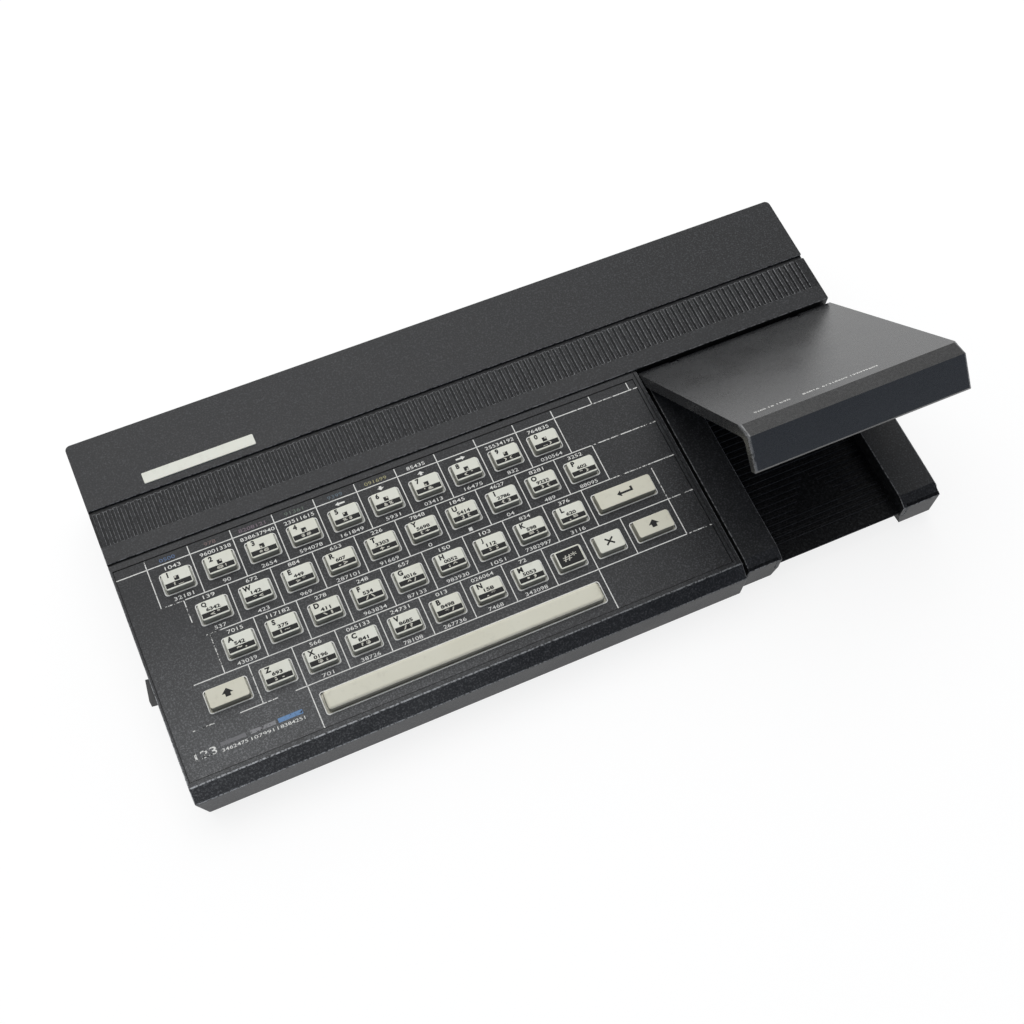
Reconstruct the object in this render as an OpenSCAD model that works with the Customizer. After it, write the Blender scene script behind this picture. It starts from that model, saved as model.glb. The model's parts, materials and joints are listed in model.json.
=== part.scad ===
// Vintage home computer: a sloped two-shell case with 42 sprung keys under a flat
// faceplate, a cartridge bay with a hinged door at the right, and sockets at the
// sides and back. Millimetres, +Z up, +Y to the rear, +X to the right.
//
// Most pieces are drawn in the deck's own tilted frame, which deck() places: there
// x runs from the keyboard's left grid line, y from its top grid line to the rear,
// and z is the height over the deck's surface.

/* [Case] */
// Slope of the deck from front to rear, in degrees
deck_slope = 8; // [6:0.5:10]
// Case side to the keyboard's left grid line
side_margin = 15.7; // [14:0.1:20]
// Depth of the deck behind the keyboard's top grid line
deck_rear = 73; // [70:1:90]
// Deck's front edge to the centre of the space bar
front_margin = 12.5; // [12:0.5:18]
// Forward run of the chamfer along the front edge
chamfer_run = 6.4; // [5:0.2:9]
// Drop of the chamfer along the front edge
chamfer_drop = 3.8; // [3:0.1:5]
// Height of the front face under the chamfer
front_face_h = 17.5; // [16:0.5:20]
// Thickness of the side, front and rear walls
wall = 2.4; // [2:0.1:2.8]
// Thickness of the upper case's top
top_wall = 2.6; // [2.4:0.1:3]
// Thickness of the lower case's floor
floor_t = 2.4; // [2:0.1:3]
// Radius of the rear corners, seen from above
corner_r = 2.5; // [1:0.5:5]
// How far the left side of the lower case draws in at its foot
taper_left = 4; // [0:0.5:5]
// How far the right side of the lower case draws in at its foot
taper_right = 2; // [0:0.5:5]
// Height of the rubber feet under the case
foot_h = 3; // [2:0.5:6]
// Diameter of the rubber feet
foot_d = 14; // [10:1:18]

/* [Ribbed band] */
// Front end of the ribs, behind the top grid line
rib_front = 18.2; // [16:0.2:20]
// Rear end of the ribs
rib_rear = 35.3; // [32:0.1:38]
// Spacing of the ribs
rib_pitch = 3.175; // [2.5:0.025:5]
// Width of one rib
rib_w = 1.9; // [1.5:0.1:2.2]
// Depth of the gaps between the ribs
rib_depth = 0.9; // [0.5:0.1:1.2]
// Width of the groove behind the ribs
groove_w = 2; // [1:0.1:3]
// Depth of the groove behind the ribs and of the seam before them
groove_depth = 1.3; // [0.8:0.1:1.5]
// Front edge of the seam behind the keyboard
seam_y = 8; // [7.6:0.1:9]
// Width of the seam behind the keyboard
seam_w = 1.3; // [0.8:0.1:1.6]

/* [Keyboard] */
// Spacing of the keys along a row
key_pitch = 19.79; // [19.2:0.01:21]
// Spacing of the four rows
row_pitch = 19.47; // [19:0.01:21]
// Top grid line to the centres of the top row
top_row_y = 9.7; // [9:0.1:11]
// Fourth row to the centre of the space bar
space_row_gap = 19.9; // [19:0.1:22]
// Left grid line to the centre of the first key
first_key_x = 10.65; // [10:0.05:12]
// Shift of the second row against the first
row2_shift = 9.95; // [8:0.05:11]
// Shift of the third row against the first
row3_shift = 15.1; // [14:0.05:16]
// Shift of the fourth row's first letter against the first row
row4_shift = 25.05; // [24:0.05:26]
// Width of the opening for a letter key
key_w = 14.2; // [13:0.1:15]
// Depth of the opening for every key
key_h = 10.4; // [9:0.1:12]
// Width of the opening for the two shift keys
shift_w = 19.2; // [18:0.1:19.6]
// Width of the opening for the enter key
enter_w = 29.5; // [27:0.1:30]
// Width of the opening for the space bar
space_w = 132.6; // [120:0.2:140]
// Gap between a cap and its opening
key_gap = 0.3; // [0.15:0.05:0.4]
// Corner radius of the key openings
key_corner_r = 1.2; // [0.8:0.1:2]
// Height of a cap's top over the deck
cap_rise = 3; // [2.2:0.1:4]
// How much a cap's front draws back towards its top
cap_front_draw = 0.95; // [0.5:0.05:1.5]
// How much a cap's sides and rear draw in towards its top
cap_side_draw = 0.3; // [0.1:0.05:0.6]
// Travel of a key
key_travel = 1.8; // [1.2:0.1:2]
// Thickness of the flange that holds a key under the faceplate
key_flange_t = 1; // [0.8:0.1:1.2]
// How far that flange reaches past the opening
key_flange_reach = 0.8; // [0.6:0.1:1]
// Diameter of a key's stem
stem_d = 5; // [4:0.5:6]
// Length of a key's stem, from its flange to the dome
stem_l = 1.3; // [1:0.1:2]
// Thickness of the faceplate
faceplate_t = 1; // [0.8:0.1:1.2]
// How far the faceplate lies under the deck's rim
faceplate_sink = 0.3; // [0.1:0.1:0.4]
// Gap round the faceplate in its recess
faceplate_gap = 0.3; // [0.1:0.05:0.4]
// Width of the rim between the case side and the faceplate's recess
rim_w = 1.1; // [0.8:0.1:2]
// Width of the rim between the deck's front edge and the recess
rim_front_w = 2.2; // [1.6:0.1:3]
// Rear edge of the recess, behind the top grid line
recess_rear = 5.2; // [4.4:0.1:6]
// Diameter of a dome at its foot
dome_d = 9; // [7:0.5:10]
// Thickness of the rubber sheet that carries the domes
sheet_t = 0.8; // [0.5:0.1:1]
// Thickness of the plate behind the keyboard
backplate_t = 1; // [0.8:0.1:1.6]

/* [Cartridge bay and door] */
// Width of the wall between the faceplate's recess and the door's slot
bay_side_wall = 3.5; // [3.2:0.1:5]
// Width and depth of the groove along that wall
wall_groove = 0.7; // [0.4:0.1:1]
// Width of the wing left of the bay
wing_left_w = 17.4; // [16:0.1:24]
// Inner width of the bay
bay_w = 65; // [64:0.5:75]
// Width of the wing right of the bay, with the door's flange
wing_right_w = 21.8; // [20:0.1:26]
// Depth of the bay's floor under the deck
bay_depth = 11; // [10.8:0.1:11.6]
// Rear wall of the bay, in front of the top grid line
bay_rear = 4; // [3.5:0.1:6]
// Thickness of the bay's floor and walls
bay_wall = 2; // [1.8:0.1:2.2]
// How far the front of the wings stands behind the case's front
wing_setback = 2.6; // [2.4:0.1:3]
// Where the wings' chamfer starts, behind the deck's front edge
wing_chamfer_y = 2.2; // [1:0.1:3]
// How much the wings' inner faces draw in at the foot, below the bay
wing_draw = 2.3; // [0:0.1:3]
// How far the wall under the bay's floor stands behind the wings
finger_recess = 6; // [4:0.5:8]
// Spacing of the ribs on the bay's floor
bay_rib_pitch = 3.2; // [2.6:0.1:5]
// Thickness of the door's top
door_t = 2.2; // [1.8:0.1:2.4]
// Thickness of the door's front lip
lip_t = 1.8; // [1.4:0.1:2]
// Height of the door's front lip under its chamfer
lip_h = 17; // [14:0.5:17]
// Bevel along the lip's lower outer edge
lip_bevel = 1.1; // [0.6:0.1:1.3]
// Depth of the door's side flanges under its top
flange_h = 5.5; // [5:0.1:6]
// Depth of the side flanges behind the lip's outer face
lip_flange = 4.6; // [4:0.1:5]
// Radius of the flanges' inner corner
flange_corner_r = 3; // [1:0.5:4]
// Thickness of the door's side flanges
flange_t = 2; // [1.6:0.1:2.2]
// Gap at the sides of the door
door_gap = 0.3; // [0.2:0.05:0.4]
// Gap between the closed door and what lies under it
door_under_gap = 0.5; // [0.3:0.1:0.8]
// Radius of the hinge barrel
barrel_r = 2.6; // [2.5:0.05:2.8]
// Hinge axis, behind the top grid line
hinge_y = 5.2; // [5:0.1:5.4]
// Radius of the hinge pins
pin_r = 1.2; // [1:0.1:1.4]
// Length of the hinge pins
pin_l = 14; // [12:0.5:20]
// Running clearance between a hinge pin and the door
pin_clearance = 0.05; // [0.02:0.01:0.1]
// Width of the lugs that hold the pins
lug_w = 4; // [3:0.5:6]
// How far the lugs stay inside the barrel's radius
lug_inset = 0.6; // [0.4:0.1:0.7]
// Angle at which the door stands open at rest
door_rest = 45; // [0:5:60]

/* [Cartridge connector] */
// Width of the connector
connector_w = 58; // [50:0.5:61]
// Height of the connector
connector_h = 5.3; // [5:0.1:5.5]
// How far it reaches into the bay
connector_reach = 7; // [4:0.5:10]
// Width of its mouth
mouth_w = 50; // [40:0.5:54]
// Height of its mouth
mouth_h = 1.9; // [1.6:0.1:2.4]

/* [Power switch] */
// Length of the rocker
rocker_l = 10.6; // [9:0.2:12]
// Height of the rocker
rocker_h = 5.6; // [5:0.1:6]
// Full swing of the rocker, in degrees
rocker_swing = 14; // [10:1:18]
// Depth of the rocker's pivot inside the case's side
pivot_depth = 1.8; // [1.6:0.1:2.4]
// Radius of the rocker's pivot pins
pivot_r = 0.9; // [0.7:0.1:1.1]
// Place of the rocker, in front of the top grid line
rocker_y = 50.5; // [40:0.5:60]
// Depth of the switch's body
switch_depth = 9; // [8:0.5:12]

/* [Board and sockets] */
// Height of the posts under the main board
board_post_h = 3.6; // [3:0.1:4.4]
// Thickness of the main board
board_t = 1.6; // [1.2:0.1:2]
// Front edge of the main board, in front of the top grid line
board_front = 48; // [40:1:52]
// Middle front screw of the board, from the case's middle
board_middle_screw = -16.8; // [-26:0.1:-10]
// Left grid line to the keyboard's flexible tail
ribbon_inset = 40; // [30:1:50]
// Width of the keyboard's flexible tail
ribbon_w = 52; // [40:1:60]
// Thickness of the keyboard's flexible tail
ribbon_t = 0.4; // [0.3:0.05:0.6]
// Width, depth and height of the heat sink
sink = [19.5, 24, 14];
// Thickness of the heat sink's fins and base
sink_t = 1.5; // [1:0.1:2]
// Bore of the audio jacks
audio_bore_d = 3.6; // [3.5:0.05:3.7]
// Depth of the audio jacks' bore
audio_bore_l = 14; // [12:0.5:15]
// Spacing of the audio jacks
audio_pitch = 18; // [14:0.5:24]
// Outer diameter of the video jacks' collar
video_collar_d = 8.3; // [8.2:0.05:8.4]
// Length of the video jacks' collar
video_collar_l = 8; // [7:0.5:9]
// Spacing of the video jacks
video_pitch = 26; // [22:0.5:32]
// Bore of the power jack
power_bore_d = 6.2; // [5.5:0.1:6.5]
// Width of the opening for the expansion connector
expansion_w = 64; // [50:1:70]
// Case's right side to the power jack
power_inset = 34; // [30:1:40]
// Power jack to the middle of the video jacks
video_inset = 50; // [44:1:60]
// Case's left side to the middle of the audio jacks
audio_inset = 85.7; // [60:0.1:90]
// Case's left side to the middle of the expansion opening
expansion_inset = 180.7; // [170:0.1:190]
// Place of the side sockets, behind the top grid line
joystick_at = 20; // [0:1:24]
// Gap round each socket in its opening
socket_gap = 0.3; // [0.2:0.05:0.5]

/* [Hidden] */
$fn = 48;
eps = 0.01;
reach = 200; // longer than any cut needs to be

// --- The deck's outline, in the deck frame ---
key_last_row_y = -(top_row_y + 3 * row_pitch);
space_y = key_last_row_y - space_row_gap;
deck_front = space_y - front_margin;
case_left = -side_margin;
shift_right_x = first_key_x + row4_shift + 9.127 * key_pitch;
recess_left = case_left + rim_w;
recess_right = shift_right_x + 25.65;
recess_front = deck_front + rim_front_w;
section_right = recess_right + bay_side_wall;
wing_left_x = section_right + flange_t + 2 * door_gap;
bay_left = wing_left_x + wing_left_w;
bay_right = bay_left + bay_w;
case_right = bay_right + wing_right_w;
face_y = deck_front - chamfer_run;
face_top = -chamfer_drop;
face_bottom = face_top - front_face_h;

// --- Where the deck frame lies in the part's own frame ---
datum_h = foot_h - face_y * sin(deck_slope) - face_bottom * cos(deck_slope);
front_reach = -(face_y * cos(deck_slope) - face_top * sin(deck_slope));
rear_reach = deck_rear * cos(deck_slope);
deck_y = (front_reach - rear_reach) / 2;
rocker_proud = rocker_end_out(rocker_swing / 2) - pivot_depth;
deck_x = -(case_left + case_right) / 2 + rocker_proud / 2;
function part_y(y, z) = deck_y + y * cos(deck_slope) - z * sin(deck_slope);
function part_z(y, z) = datum_h + y * sin(deck_slope) + z * cos(deck_slope);

left_x = deck_x + case_left;
right_x = deck_x + case_right;
front_y = -(front_reach + rear_reach) / 2;
rear_y = (front_reach + rear_reach) / 2;
parting_z = part_z(face_y, face_top);
floor_z = foot_h + floor_t;
board_z = floor_z + board_post_h;
board_top = board_z + board_t;

// --- Keyboard stack, heights in the deck frame ---
plate_top = -faceplate_sink;
plate_under = plate_top - faceplate_t;
flange_under = plate_under - key_flange_t;
stem_end = flange_under - stem_l;
dome_h = key_travel + 0.2;
sheet_top = stem_end - dome_h;
sheet_under = sheet_top - sheet_t;
backplate_under = sheet_under - backplate_t;
window_gap = 1.2; // between the outermost flange and the window's edge
window_left = first_key_x + row4_shift - 1.143 * key_pitch - shift_w / 2 - key_flange_reach - 4.4;
window_right = shift_right_x + shift_w / 2 + key_flange_reach + 4.6;
window_front = space_y - key_h / 2 - key_flange_reach - window_gap;
window_rear = -top_row_y + key_h / 2 + key_flange_reach + 2.8;
kb_screw_x = [(recess_left + window_left) / 2 - 0.4, (recess_right + window_right) / 2];
kb_screw_y = [-10, -32, -76];
kb_boss_r = 2.6;
kb_screw_r = 1;

// --- Keys: [name, centre x, centre y, opening width] ---
function row_keys(names, x0, y) =
    [for (i = [0 : len(names) - 1]) [str("key_", names[i]), x0 + i * key_pitch, y, key_w]];
row_y = [for (i = [0 : 3]) -(top_row_y + i * row_pitch)];
KEYS = concat(
    row_keys(["1", "2", "3", "4", "5", "6", "7", "8", "9", "0"], first_key_x, row_y[0]),
    row_keys(["q", "w", "e", "r", "t", "y", "u", "i", "o", "p"],
        first_key_x + row2_shift, row_y[1]),
    row_keys(["a", "s", "d", "f", "g", "h", "j", "k", "l"],
        first_key_x + row3_shift, row_y[2]),
    [["key_enter", first_key_x + row3_shift + 9.373 * key_pitch, row_y[2], enter_w]],
    [["key_shift_left", first_key_x + row4_shift - 1.143 * key_pitch, row_y[3], shift_w]],
    row_keys(["z", "x", "c", "v", "b", "n", "m", "symbol", "break"],
        first_key_x + row4_shift, row_y[3]),
    [["key_shift_right", shift_right_x, row_y[3], shift_w]],
    [["key_space", first_key_x + row4_shift + 4.007 * key_pitch, space_y, space_w]]
);
// A wide key stands on several stems, spread over its width
function stems(w) = w > 4 * key_w ? [-w / 3, 0, w / 3] : [0];

// --- Hinge, door and bay, in the deck frame ---
hinge_z = -barrel_r;
lug_r = barrel_r - lug_inset;
wing_top = -(door_t + door_under_gap);
trough_front = hinge_y - barrel_r - door_under_gap;
trough_rear = seam_y + seam_w;
trough_floor = hinge_z - barrel_r - door_under_gap;
slot_floor = -(flange_h + 2 * door_under_gap);
slot_front = face_y + lip_flange + door_under_gap;
door_left = section_right + door_gap;
wing_front = face_y + wing_setback;
door_inner_y = deck_front + 0.4; // where the inner side of the door's chamfer starts
door_inner_z = face_top - 1.2; // and where it ends, behind the lip
wing_side = case_right - flange_t - door_gap;
bay_front = wing_front + 0.9;
tray_gap = 0.3; // between the tray's sides and the lower case
tray_under = -(bay_depth + bay_wall);
recess_wall_y = wing_front + finger_recess;
lug_x = [bay_left - 1, bay_right + 1];
trough_wall_under = trough_floor - bay_wall;
flange_slot_under = slot_floor - bay_wall;

// --- Cartridge connector, in the deck frame ---
connector_x = (bay_left + bay_right) / 2;
connector_z = -bay_depth + 0.3;
connector_y = [-(bay_rear + connector_reach), trough_front - bay_wall - 0.4];
riser_y = [bay_wall - bay_rear + 0.3, bay_wall - bay_rear + 3.3];
riser_top = trough_wall_under - 0.3;

// --- Rocker ---
rocker_dish = 0.8;
function rocker_edge() = 4.2;
function rocker_end_out(a) = rocker_edge() * cos(a) + rocker_l / 2 * sin(a);
rocker_part_y = part_y(-rocker_y, 0);
rocker_z = parting_z + rocker_h / 2 + 0.6;
pivot_x = left_x + pivot_depth;
well_l = rocker_l + 1.6;
well_h = rocker_h + 0.6;
switch_wall = 1.2;
switch_l = well_l + 2 * switch_wall;
switch_h = well_h + 2 * switch_wall;

// --- Sockets on the back and sides, in the part's own frame ---
power_x = right_x - power_inset;
video_x = power_x - video_inset;
audio_x = left_x + audio_inset;
expansion_x = left_x + expansion_inset;
jack_inset = 0.6; // how far the jacks' faces stand inside the rear wall's outer face
power_size = [14, 16, 12];
audio_size = [10, 17, 10];
video_size = [14, 10, 14];
jack_z = board_top + 6;
joystick_y = part_y(joystick_at, 0);
joystick_z = board_top + 7.5;
joystick_flange = [31, 12.5];

// --- Screws: [x, y] places in the part's own frame ---
boss_r = 3.6;
front_screw_y = part_y(deck_front + 9.5, 0);
boss_shift = 1.2; // keeps the front left boss clear of the drawn-in side
rear_screw_y = rear_y - wall - boss_r - 3;
case_screw_places = [
    [deck_x + kb_screw_x[0] + boss_shift, front_screw_y],
    [deck_x + kb_screw_x[1], front_screw_y],
    [deck_x + bay_right + bay_wall + 10, front_screw_y],
    [left_x + wall + boss_r + 10, rear_screw_y],
    [expansion_x - expansion_w / 2 - 15, rear_screw_y],
    [right_x - wall - boss_r - 3, rear_screw_y]
];
boss_joint_z = board_top + 2.6;
case_screw_r = 1.5;
case_head_r = 3;
well_r = 3.6;
well_top = floor_z + 2;
board_screw_inset = 30; // from the case's sides
board_screw_y = [part_y(8 - board_front, 0), part_y(deck_rear - 28, 0)];
board_screw_places = [
    [left_x + board_screw_inset, board_screw_y[0]],
    [board_middle_screw, board_screw_y[0]],
    [right_x - board_screw_inset, board_screw_y[0]],
    [left_x + board_screw_inset, board_screw_y[1]],
    [right_x - 2 * board_screw_inset, board_screw_y[1]]
];
board_screw_r = 1.25;
foot_inset = 20; // from the case's sides and rear
foot_front_inset = foot_inset + 2;
foot_places = [
    for (x = [left_x + foot_inset, right_x - foot_inset])
        for (y = [front_y + foot_front_inset, rear_y - foot_inset]) [x, y]
];
foot_seat = 1;

OTHER_NODES = [
    "upper_case", "lower_case", "keyboard_faceplate", "dome_sheet", "keyboard_backplate",
    "keyboard_ribbon", "main_board", "cartridge_connector", "cartridge_door",
    "door_hinge_pins", "power_rocker", "power_switch_body", "joystick_sockets",
    "audio_jacks", "video_jacks", "power_jack", "rubber_feet", "screws"
];

// --- Colours ---
charcoal = [0.13, 0.13, 0.14];
door_grey = [0.17, 0.17, 0.18];
plate_black = [0.08, 0.08, 0.09];
cream = [0.86, 0.84, 0.78];
steel = [0.72, 0.72, 0.73];
rubber_black = [0.05, 0.05, 0.05];
board_green = [0.10, 0.34, 0.18];
contact_gold = [0.80, 0.64, 0.28];

// --- Placing helpers ---

// Puts what is drawn in the deck frame into the part's own frame
module deck() {
    translate([deck_x, deck_y, datum_h]) rotate([deck_slope, 0, 0]) children();
}

// A box between two x, two y and two z values
module span(x, y, z) {
    translate([x[0], y[0], z[0]]) cube([x[1] - x[0], y[1] - y[0], z[1] - z[0]]);
}

// Extrudes a (y, z) outline along x
module along_x(x) {
    translate([x[0], 0, 0]) rotate([90, 0, 90]) linear_extrude(x[1] - x[0]) children();
}

// Extrudes an (x, z) outline along y
module along_y(y) {
    translate([0, y[1], 0]) rotate([90, 0, 0]) linear_extrude(y[1] - y[0]) children();
}

// The two ends of a length of 2 * half about a centre
function around(centre, half) = [centre - half, centre + half];

// A rectangle about the origin with round corners
module round_rect(w, h, r) {
    square([w - 2 * r, h], center = true);
    square([w, h - 2 * r], center = true);
    for (sx = [-1, 1], sy = [-1, 1])
        translate([sx * (w / 2 - r), sy * (h / 2 - r)]) circle(r, $fn = 24);
}

// Moves each side of an outline inwards by its own distance, corners kept sharp
function inset(pts, d) = let (n = len(pts)) [
    for (i = [0 : n - 1])
        let (a = pts[(i + n - 1) % n], b = pts[i], c = pts[(i + 1) % n],
             u = (b - a) / norm(b - a), v = (c - b) / norm(c - b),
             nu = [-u[1], u[0]] * d[(i + n - 1) % n], nv = [-v[1], v[0]] * d[i],
             w = nv - nu,
             t = (w[0] * v[1] - w[1] * v[0]) / (u[0] * v[1] - u[1] * v[0]))
        b + nu + t * u
];

// --- Case outlines ---

upper_side = [
    [front_y, parting_z], [rear_y, parting_z], [rear_y, part_z(deck_rear, 0)],
    [part_y(deck_front, 0), part_z(deck_front, 0)]
];
lower_side = [
    [part_y(face_y, face_bottom), foot_h], [rear_y, foot_h],
    [rear_y, parting_z], [front_y, parting_z]
];
lower_front = [
    [left_x + taper_left, foot_h], [right_x - taper_right, foot_h],
    [right_x, parting_z], [left_x, parting_z]
];

// The case from above, with round rear corners
module plan(inside = 0) {
    r = max(corner_r - inside, 0.5);
    x = [left_x + inside, right_x - inside];
    translate([x[0], front_y - 1])
        square([x[1] - x[0], rear_y - inside - r - front_y + 1]);
    translate([x[0] + r, front_y - 1])
        square([x[1] - x[0] - 2 * r, rear_y - inside - front_y + 1]);
    for (cx = [x[0] + r, x[1] - r])
        translate([cx, rear_y - inside - r]) circle(r);
}

// Every opening in the walls that a socket or switch fills, cut through both shells
module wall_openings() {
    g = socket_gap;
    rear = [rear_y - wall - 1, rear_y + 1];
    span([power_x - power_size[0] / 2 - g, power_x + power_size[0] / 2 + g], rear,
        [board_top - g, board_top + power_size[2] + g]);
    for (s = [-1, 1]) {
        span([video_x + s * video_pitch / 2 - video_size[0] / 2 - g,
              video_x + s * video_pitch / 2 + video_size[0] / 2 + g],
            rear, [board_top - g, board_top + video_size[2] + g]);
        span([audio_x + s * audio_pitch / 2 - audio_size[0] / 2 - g,
              audio_x + s * audio_pitch / 2 + audio_size[0] / 2 + g],
            rear, [board_top - g, board_top + audio_size[2] + g]);
    }
    span([expansion_x - expansion_w / 2, expansion_x + expansion_w / 2], rear,
        [board_z - 2, board_top + 10]);
    for (x = [left_x - 1, right_x - 2 * wall])
        span([x, x + 2 * wall + 1], around(joystick_y, joystick_flange[0] / 2 + g),
            around(joystick_z, joystick_flange[1] / 2 + g));
    span([left_x - 1, left_x + wall + 1],
        around(rocker_part_y, switch_l / 2 + g), around(rocker_z, switch_h / 2 + g));
}

// --- Upper case ---

// Height of what lies closest under the closed door's chamfer, at y
function under_door(y) = door_inner_z - door_under_gap
    + (y - face_y - lip_t) * (-door_t - door_inner_z) / (door_inner_y - face_y - lip_t);

// Everything that the door, its hinge and its flanges need free, over both wings
module door_room() {
    x = [section_right, case_right + 1];
    span(x, [-reach, trough_rear], [wing_top, reach]);
    span(x, [trough_front, trough_rear], [trough_floor, reach]);
    r = flange_corner_r;
    for (slot = [[section_right, wing_left_x], [wing_side, case_right + 1]])
        along_x(slot) polygon([
            [trough_rear, reach], [-reach, reach], [-reach, -reach], [slot_front, -reach],
            [slot_front, slot_floor - r], [slot_front + r, slot_floor],
            [trough_rear, slot_floor]
        ]);
    along_x(x) polygon([
        [-reach, 1], [deck_front + wing_chamfer_y, wing_top],
        [wing_front, under_door(wing_front)], [wing_front, -reach], [-reach, -reach]
    ]);
}

// The bay's tray, which hangs below the parting line at the front
module bay_tray() {
    x = [bay_left - bay_wall, bay_right + bay_wall];
    floor = [tray_under, -bay_depth];
    nose_r = bay_wall / 2;
    span(x, [bay_front + nose_r, -bay_rear + bay_wall], floor);
    along_x([bay_left, bay_right])
        translate([bay_front + nose_r, -bay_depth - nose_r]) circle(nose_r, $fn = 24);
    for (x0 = [bay_left - bay_wall, bay_right])
        span([x0, x0 + bay_wall], [wing_front, -bay_rear + bay_wall],
            [floor[0], wing_top - 0.5]);
    span(x, [-bay_rear, -bay_rear + bay_wall], [floor[0], wing_top]);
}

// Low ribs across the bay's floor, behind a smooth band and round a smooth arrow
module bay_floor_ribs() {
    first = bay_front + 8;
    last = -bay_rear - connector_reach - 6;
    rib = 1.4;
    height = 0.5;
    arrow_y = first + 12;
    arrow_w = 26;
    for (y = [first : bay_rib_pitch : last]) {
        open = max(0, arrow_w / 2 - abs(y - arrow_y) * 0.8) * (y < arrow_y ? 0 : 1);
        for (s = [-1, 1]) {
            side = s < 0 ? [bay_left + 2, connector_x - open]
                         : [connector_x + open, bay_right - 2];
            span(side, [y, y + rib], [-bay_depth - 0.1, -bay_depth + height]);
        }
    }
}

// Space inside the upper case, above and below the bay's tray
module upper_room() {
    intersection() {
        along_x([left_x - 1, right_x + 1])
            polygon(inset(upper_side, [-1, wall, top_wall, wall]));
        translate([0, 0, parting_z - 2]) linear_extrude(reach) plan(wall);
        deck() {
            low = -reach;
            span([case_left - 1, recess_right], [-reach, reach], [low, reach]);
            span([case_left - 1, case_right + 1], [trough_rear + bay_wall, reach], [low, reach]);
            span([recess_right - 1, case_right], [wing_front + bay_wall, reach],
                [low, tray_under]);
            span([recess_right - 1, case_right], [-bay_rear + bay_wall - 1, reach],
                [low, trough_wall_under]);
            span([recess_right - 1, wing_left_x + 1], [-reach, reach],
                [low, flange_slot_under]);
            span([wing_left_x + bay_wall, bay_left - bay_wall],
                [wing_front + bay_wall, trough_front - bay_wall], [low, wing_top - bay_wall]);
            span([bay_right + bay_wall, wing_side - bay_wall],
                [wing_front + bay_wall, trough_front - bay_wall], [low, wing_top - bay_wall]);
            span([bay_left, wing_side], [wing_front + bay_wall + finger_recess, reach],
                [low, tray_under]);
            span([bay_left - bay_wall, bay_right + bay_wall],
                [-bay_rear + bay_wall, trough_front - bay_wall], [low, wing_top - bay_wall]);
            span([bay_right + bay_wall, case_right], [wing_front + bay_wall, reach],
                [low, flange_slot_under]);
        }
    }
}

module upper_shell() {
    difference() {
        intersection() {
            along_x([left_x, right_x]) polygon(upper_side);
            translate([0, 0, parting_z]) linear_extrude(reach) plan();
        }
        upper_room();
    }
}

// Screw bosses that hang from the upper case's top and stop over the lower case's posts
module case_bosses() {
    intersection() {
        for (p = case_screw_places)
            translate([p[0], p[1], boss_joint_z]) cylinder(h = reach, r = boss_r);
        deck() span([case_left, case_right], [-reach, reach], [-reach, 0.5 - top_wall]);
    }
}

module faceplate_recess() {
    span([recess_left, recess_right], [recess_front, recess_rear], [plate_under, reach]);
    span([window_left, window_right], [window_front, window_rear], [-reach, reach]);
}

module band_of_ribs() {
    gap = rib_pitch - rib_w;
    count = floor((case_right - case_left) / rib_pitch);
    for (i = [0 : count - 1])
        span([case_left + i * rib_pitch, case_left + i * rib_pitch + gap],
            [rib_front, rib_rear + 0.1], [-rib_depth, 1]);
    span([case_left - 1, case_right + 1], [rib_rear, rib_rear + groove_w], [-groove_depth, 1]);
    span([case_left - 1, section_right + 1], [seam_y, seam_y + seam_w], [-groove_depth, 1]);
    span([recess_right + rim_w, recess_right + rim_w + wall_groove], [recess_front, seam_y],
        [-wall_groove, 1]);
}

module upper_case() {
    color(charcoal) difference() {
        union() {
            difference() {
                union() {
                    upper_shell();
                    case_bosses();
                    deck() bay_tray();
                }
                deck() door_room();
            }
            deck() for (x = lug_x) hinge_lug(x);
            deck() for (x = kb_screw_x, y = kb_screw_y)
                translate([x, y, sheet_under]) cylinder(h = -sheet_under - 2, r = kb_boss_r);
        }
        deck() {
            span([bay_left, bay_right], [-reach, -bay_rear], [-bay_depth, reach]);
            faceplate_recess();
            band_of_ribs();
            for (x = lug_x) hinge_bore(x, pin_r);
            for (x = kb_screw_x, y = kb_screw_y)
                translate([x, y, sheet_under - 1]) cylinder(h = 5, r = kb_screw_r, $fn = 24);
            span(around(connector_x, connector_w / 2 + 0.3),
                [-bay_rear - 1, -bay_rear + bay_wall + 0.5],
                [connector_z - 0.3, connector_z + connector_h + 0.3]);
        }
        for (p = case_screw_places)
            translate([p[0], p[1], boss_joint_z - 1]) cylinder(h = 5.2, r = case_screw_r);
        wall_openings();
    }
    color(charcoal) deck() bay_floor_ribs();
}

// One lug between two lengths of the door's barrel
module hinge_lug(x) {
    along_x([x - lug_w / 2, x + lug_w / 2]) translate([hinge_y, hinge_z]) {
        circle(lug_r);
        translate([-lug_r, trough_wall_under - hinge_z])
            square([2 * lug_r, hinge_z - trough_wall_under]);
    }
}

module hinge_bore(x, r, l = 40) {
    translate([x - l / 2, hinge_y, hinge_z]) rotate([0, 90, 0]) cylinder(h = l, r = r);
}

// --- Lower case ---

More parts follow.
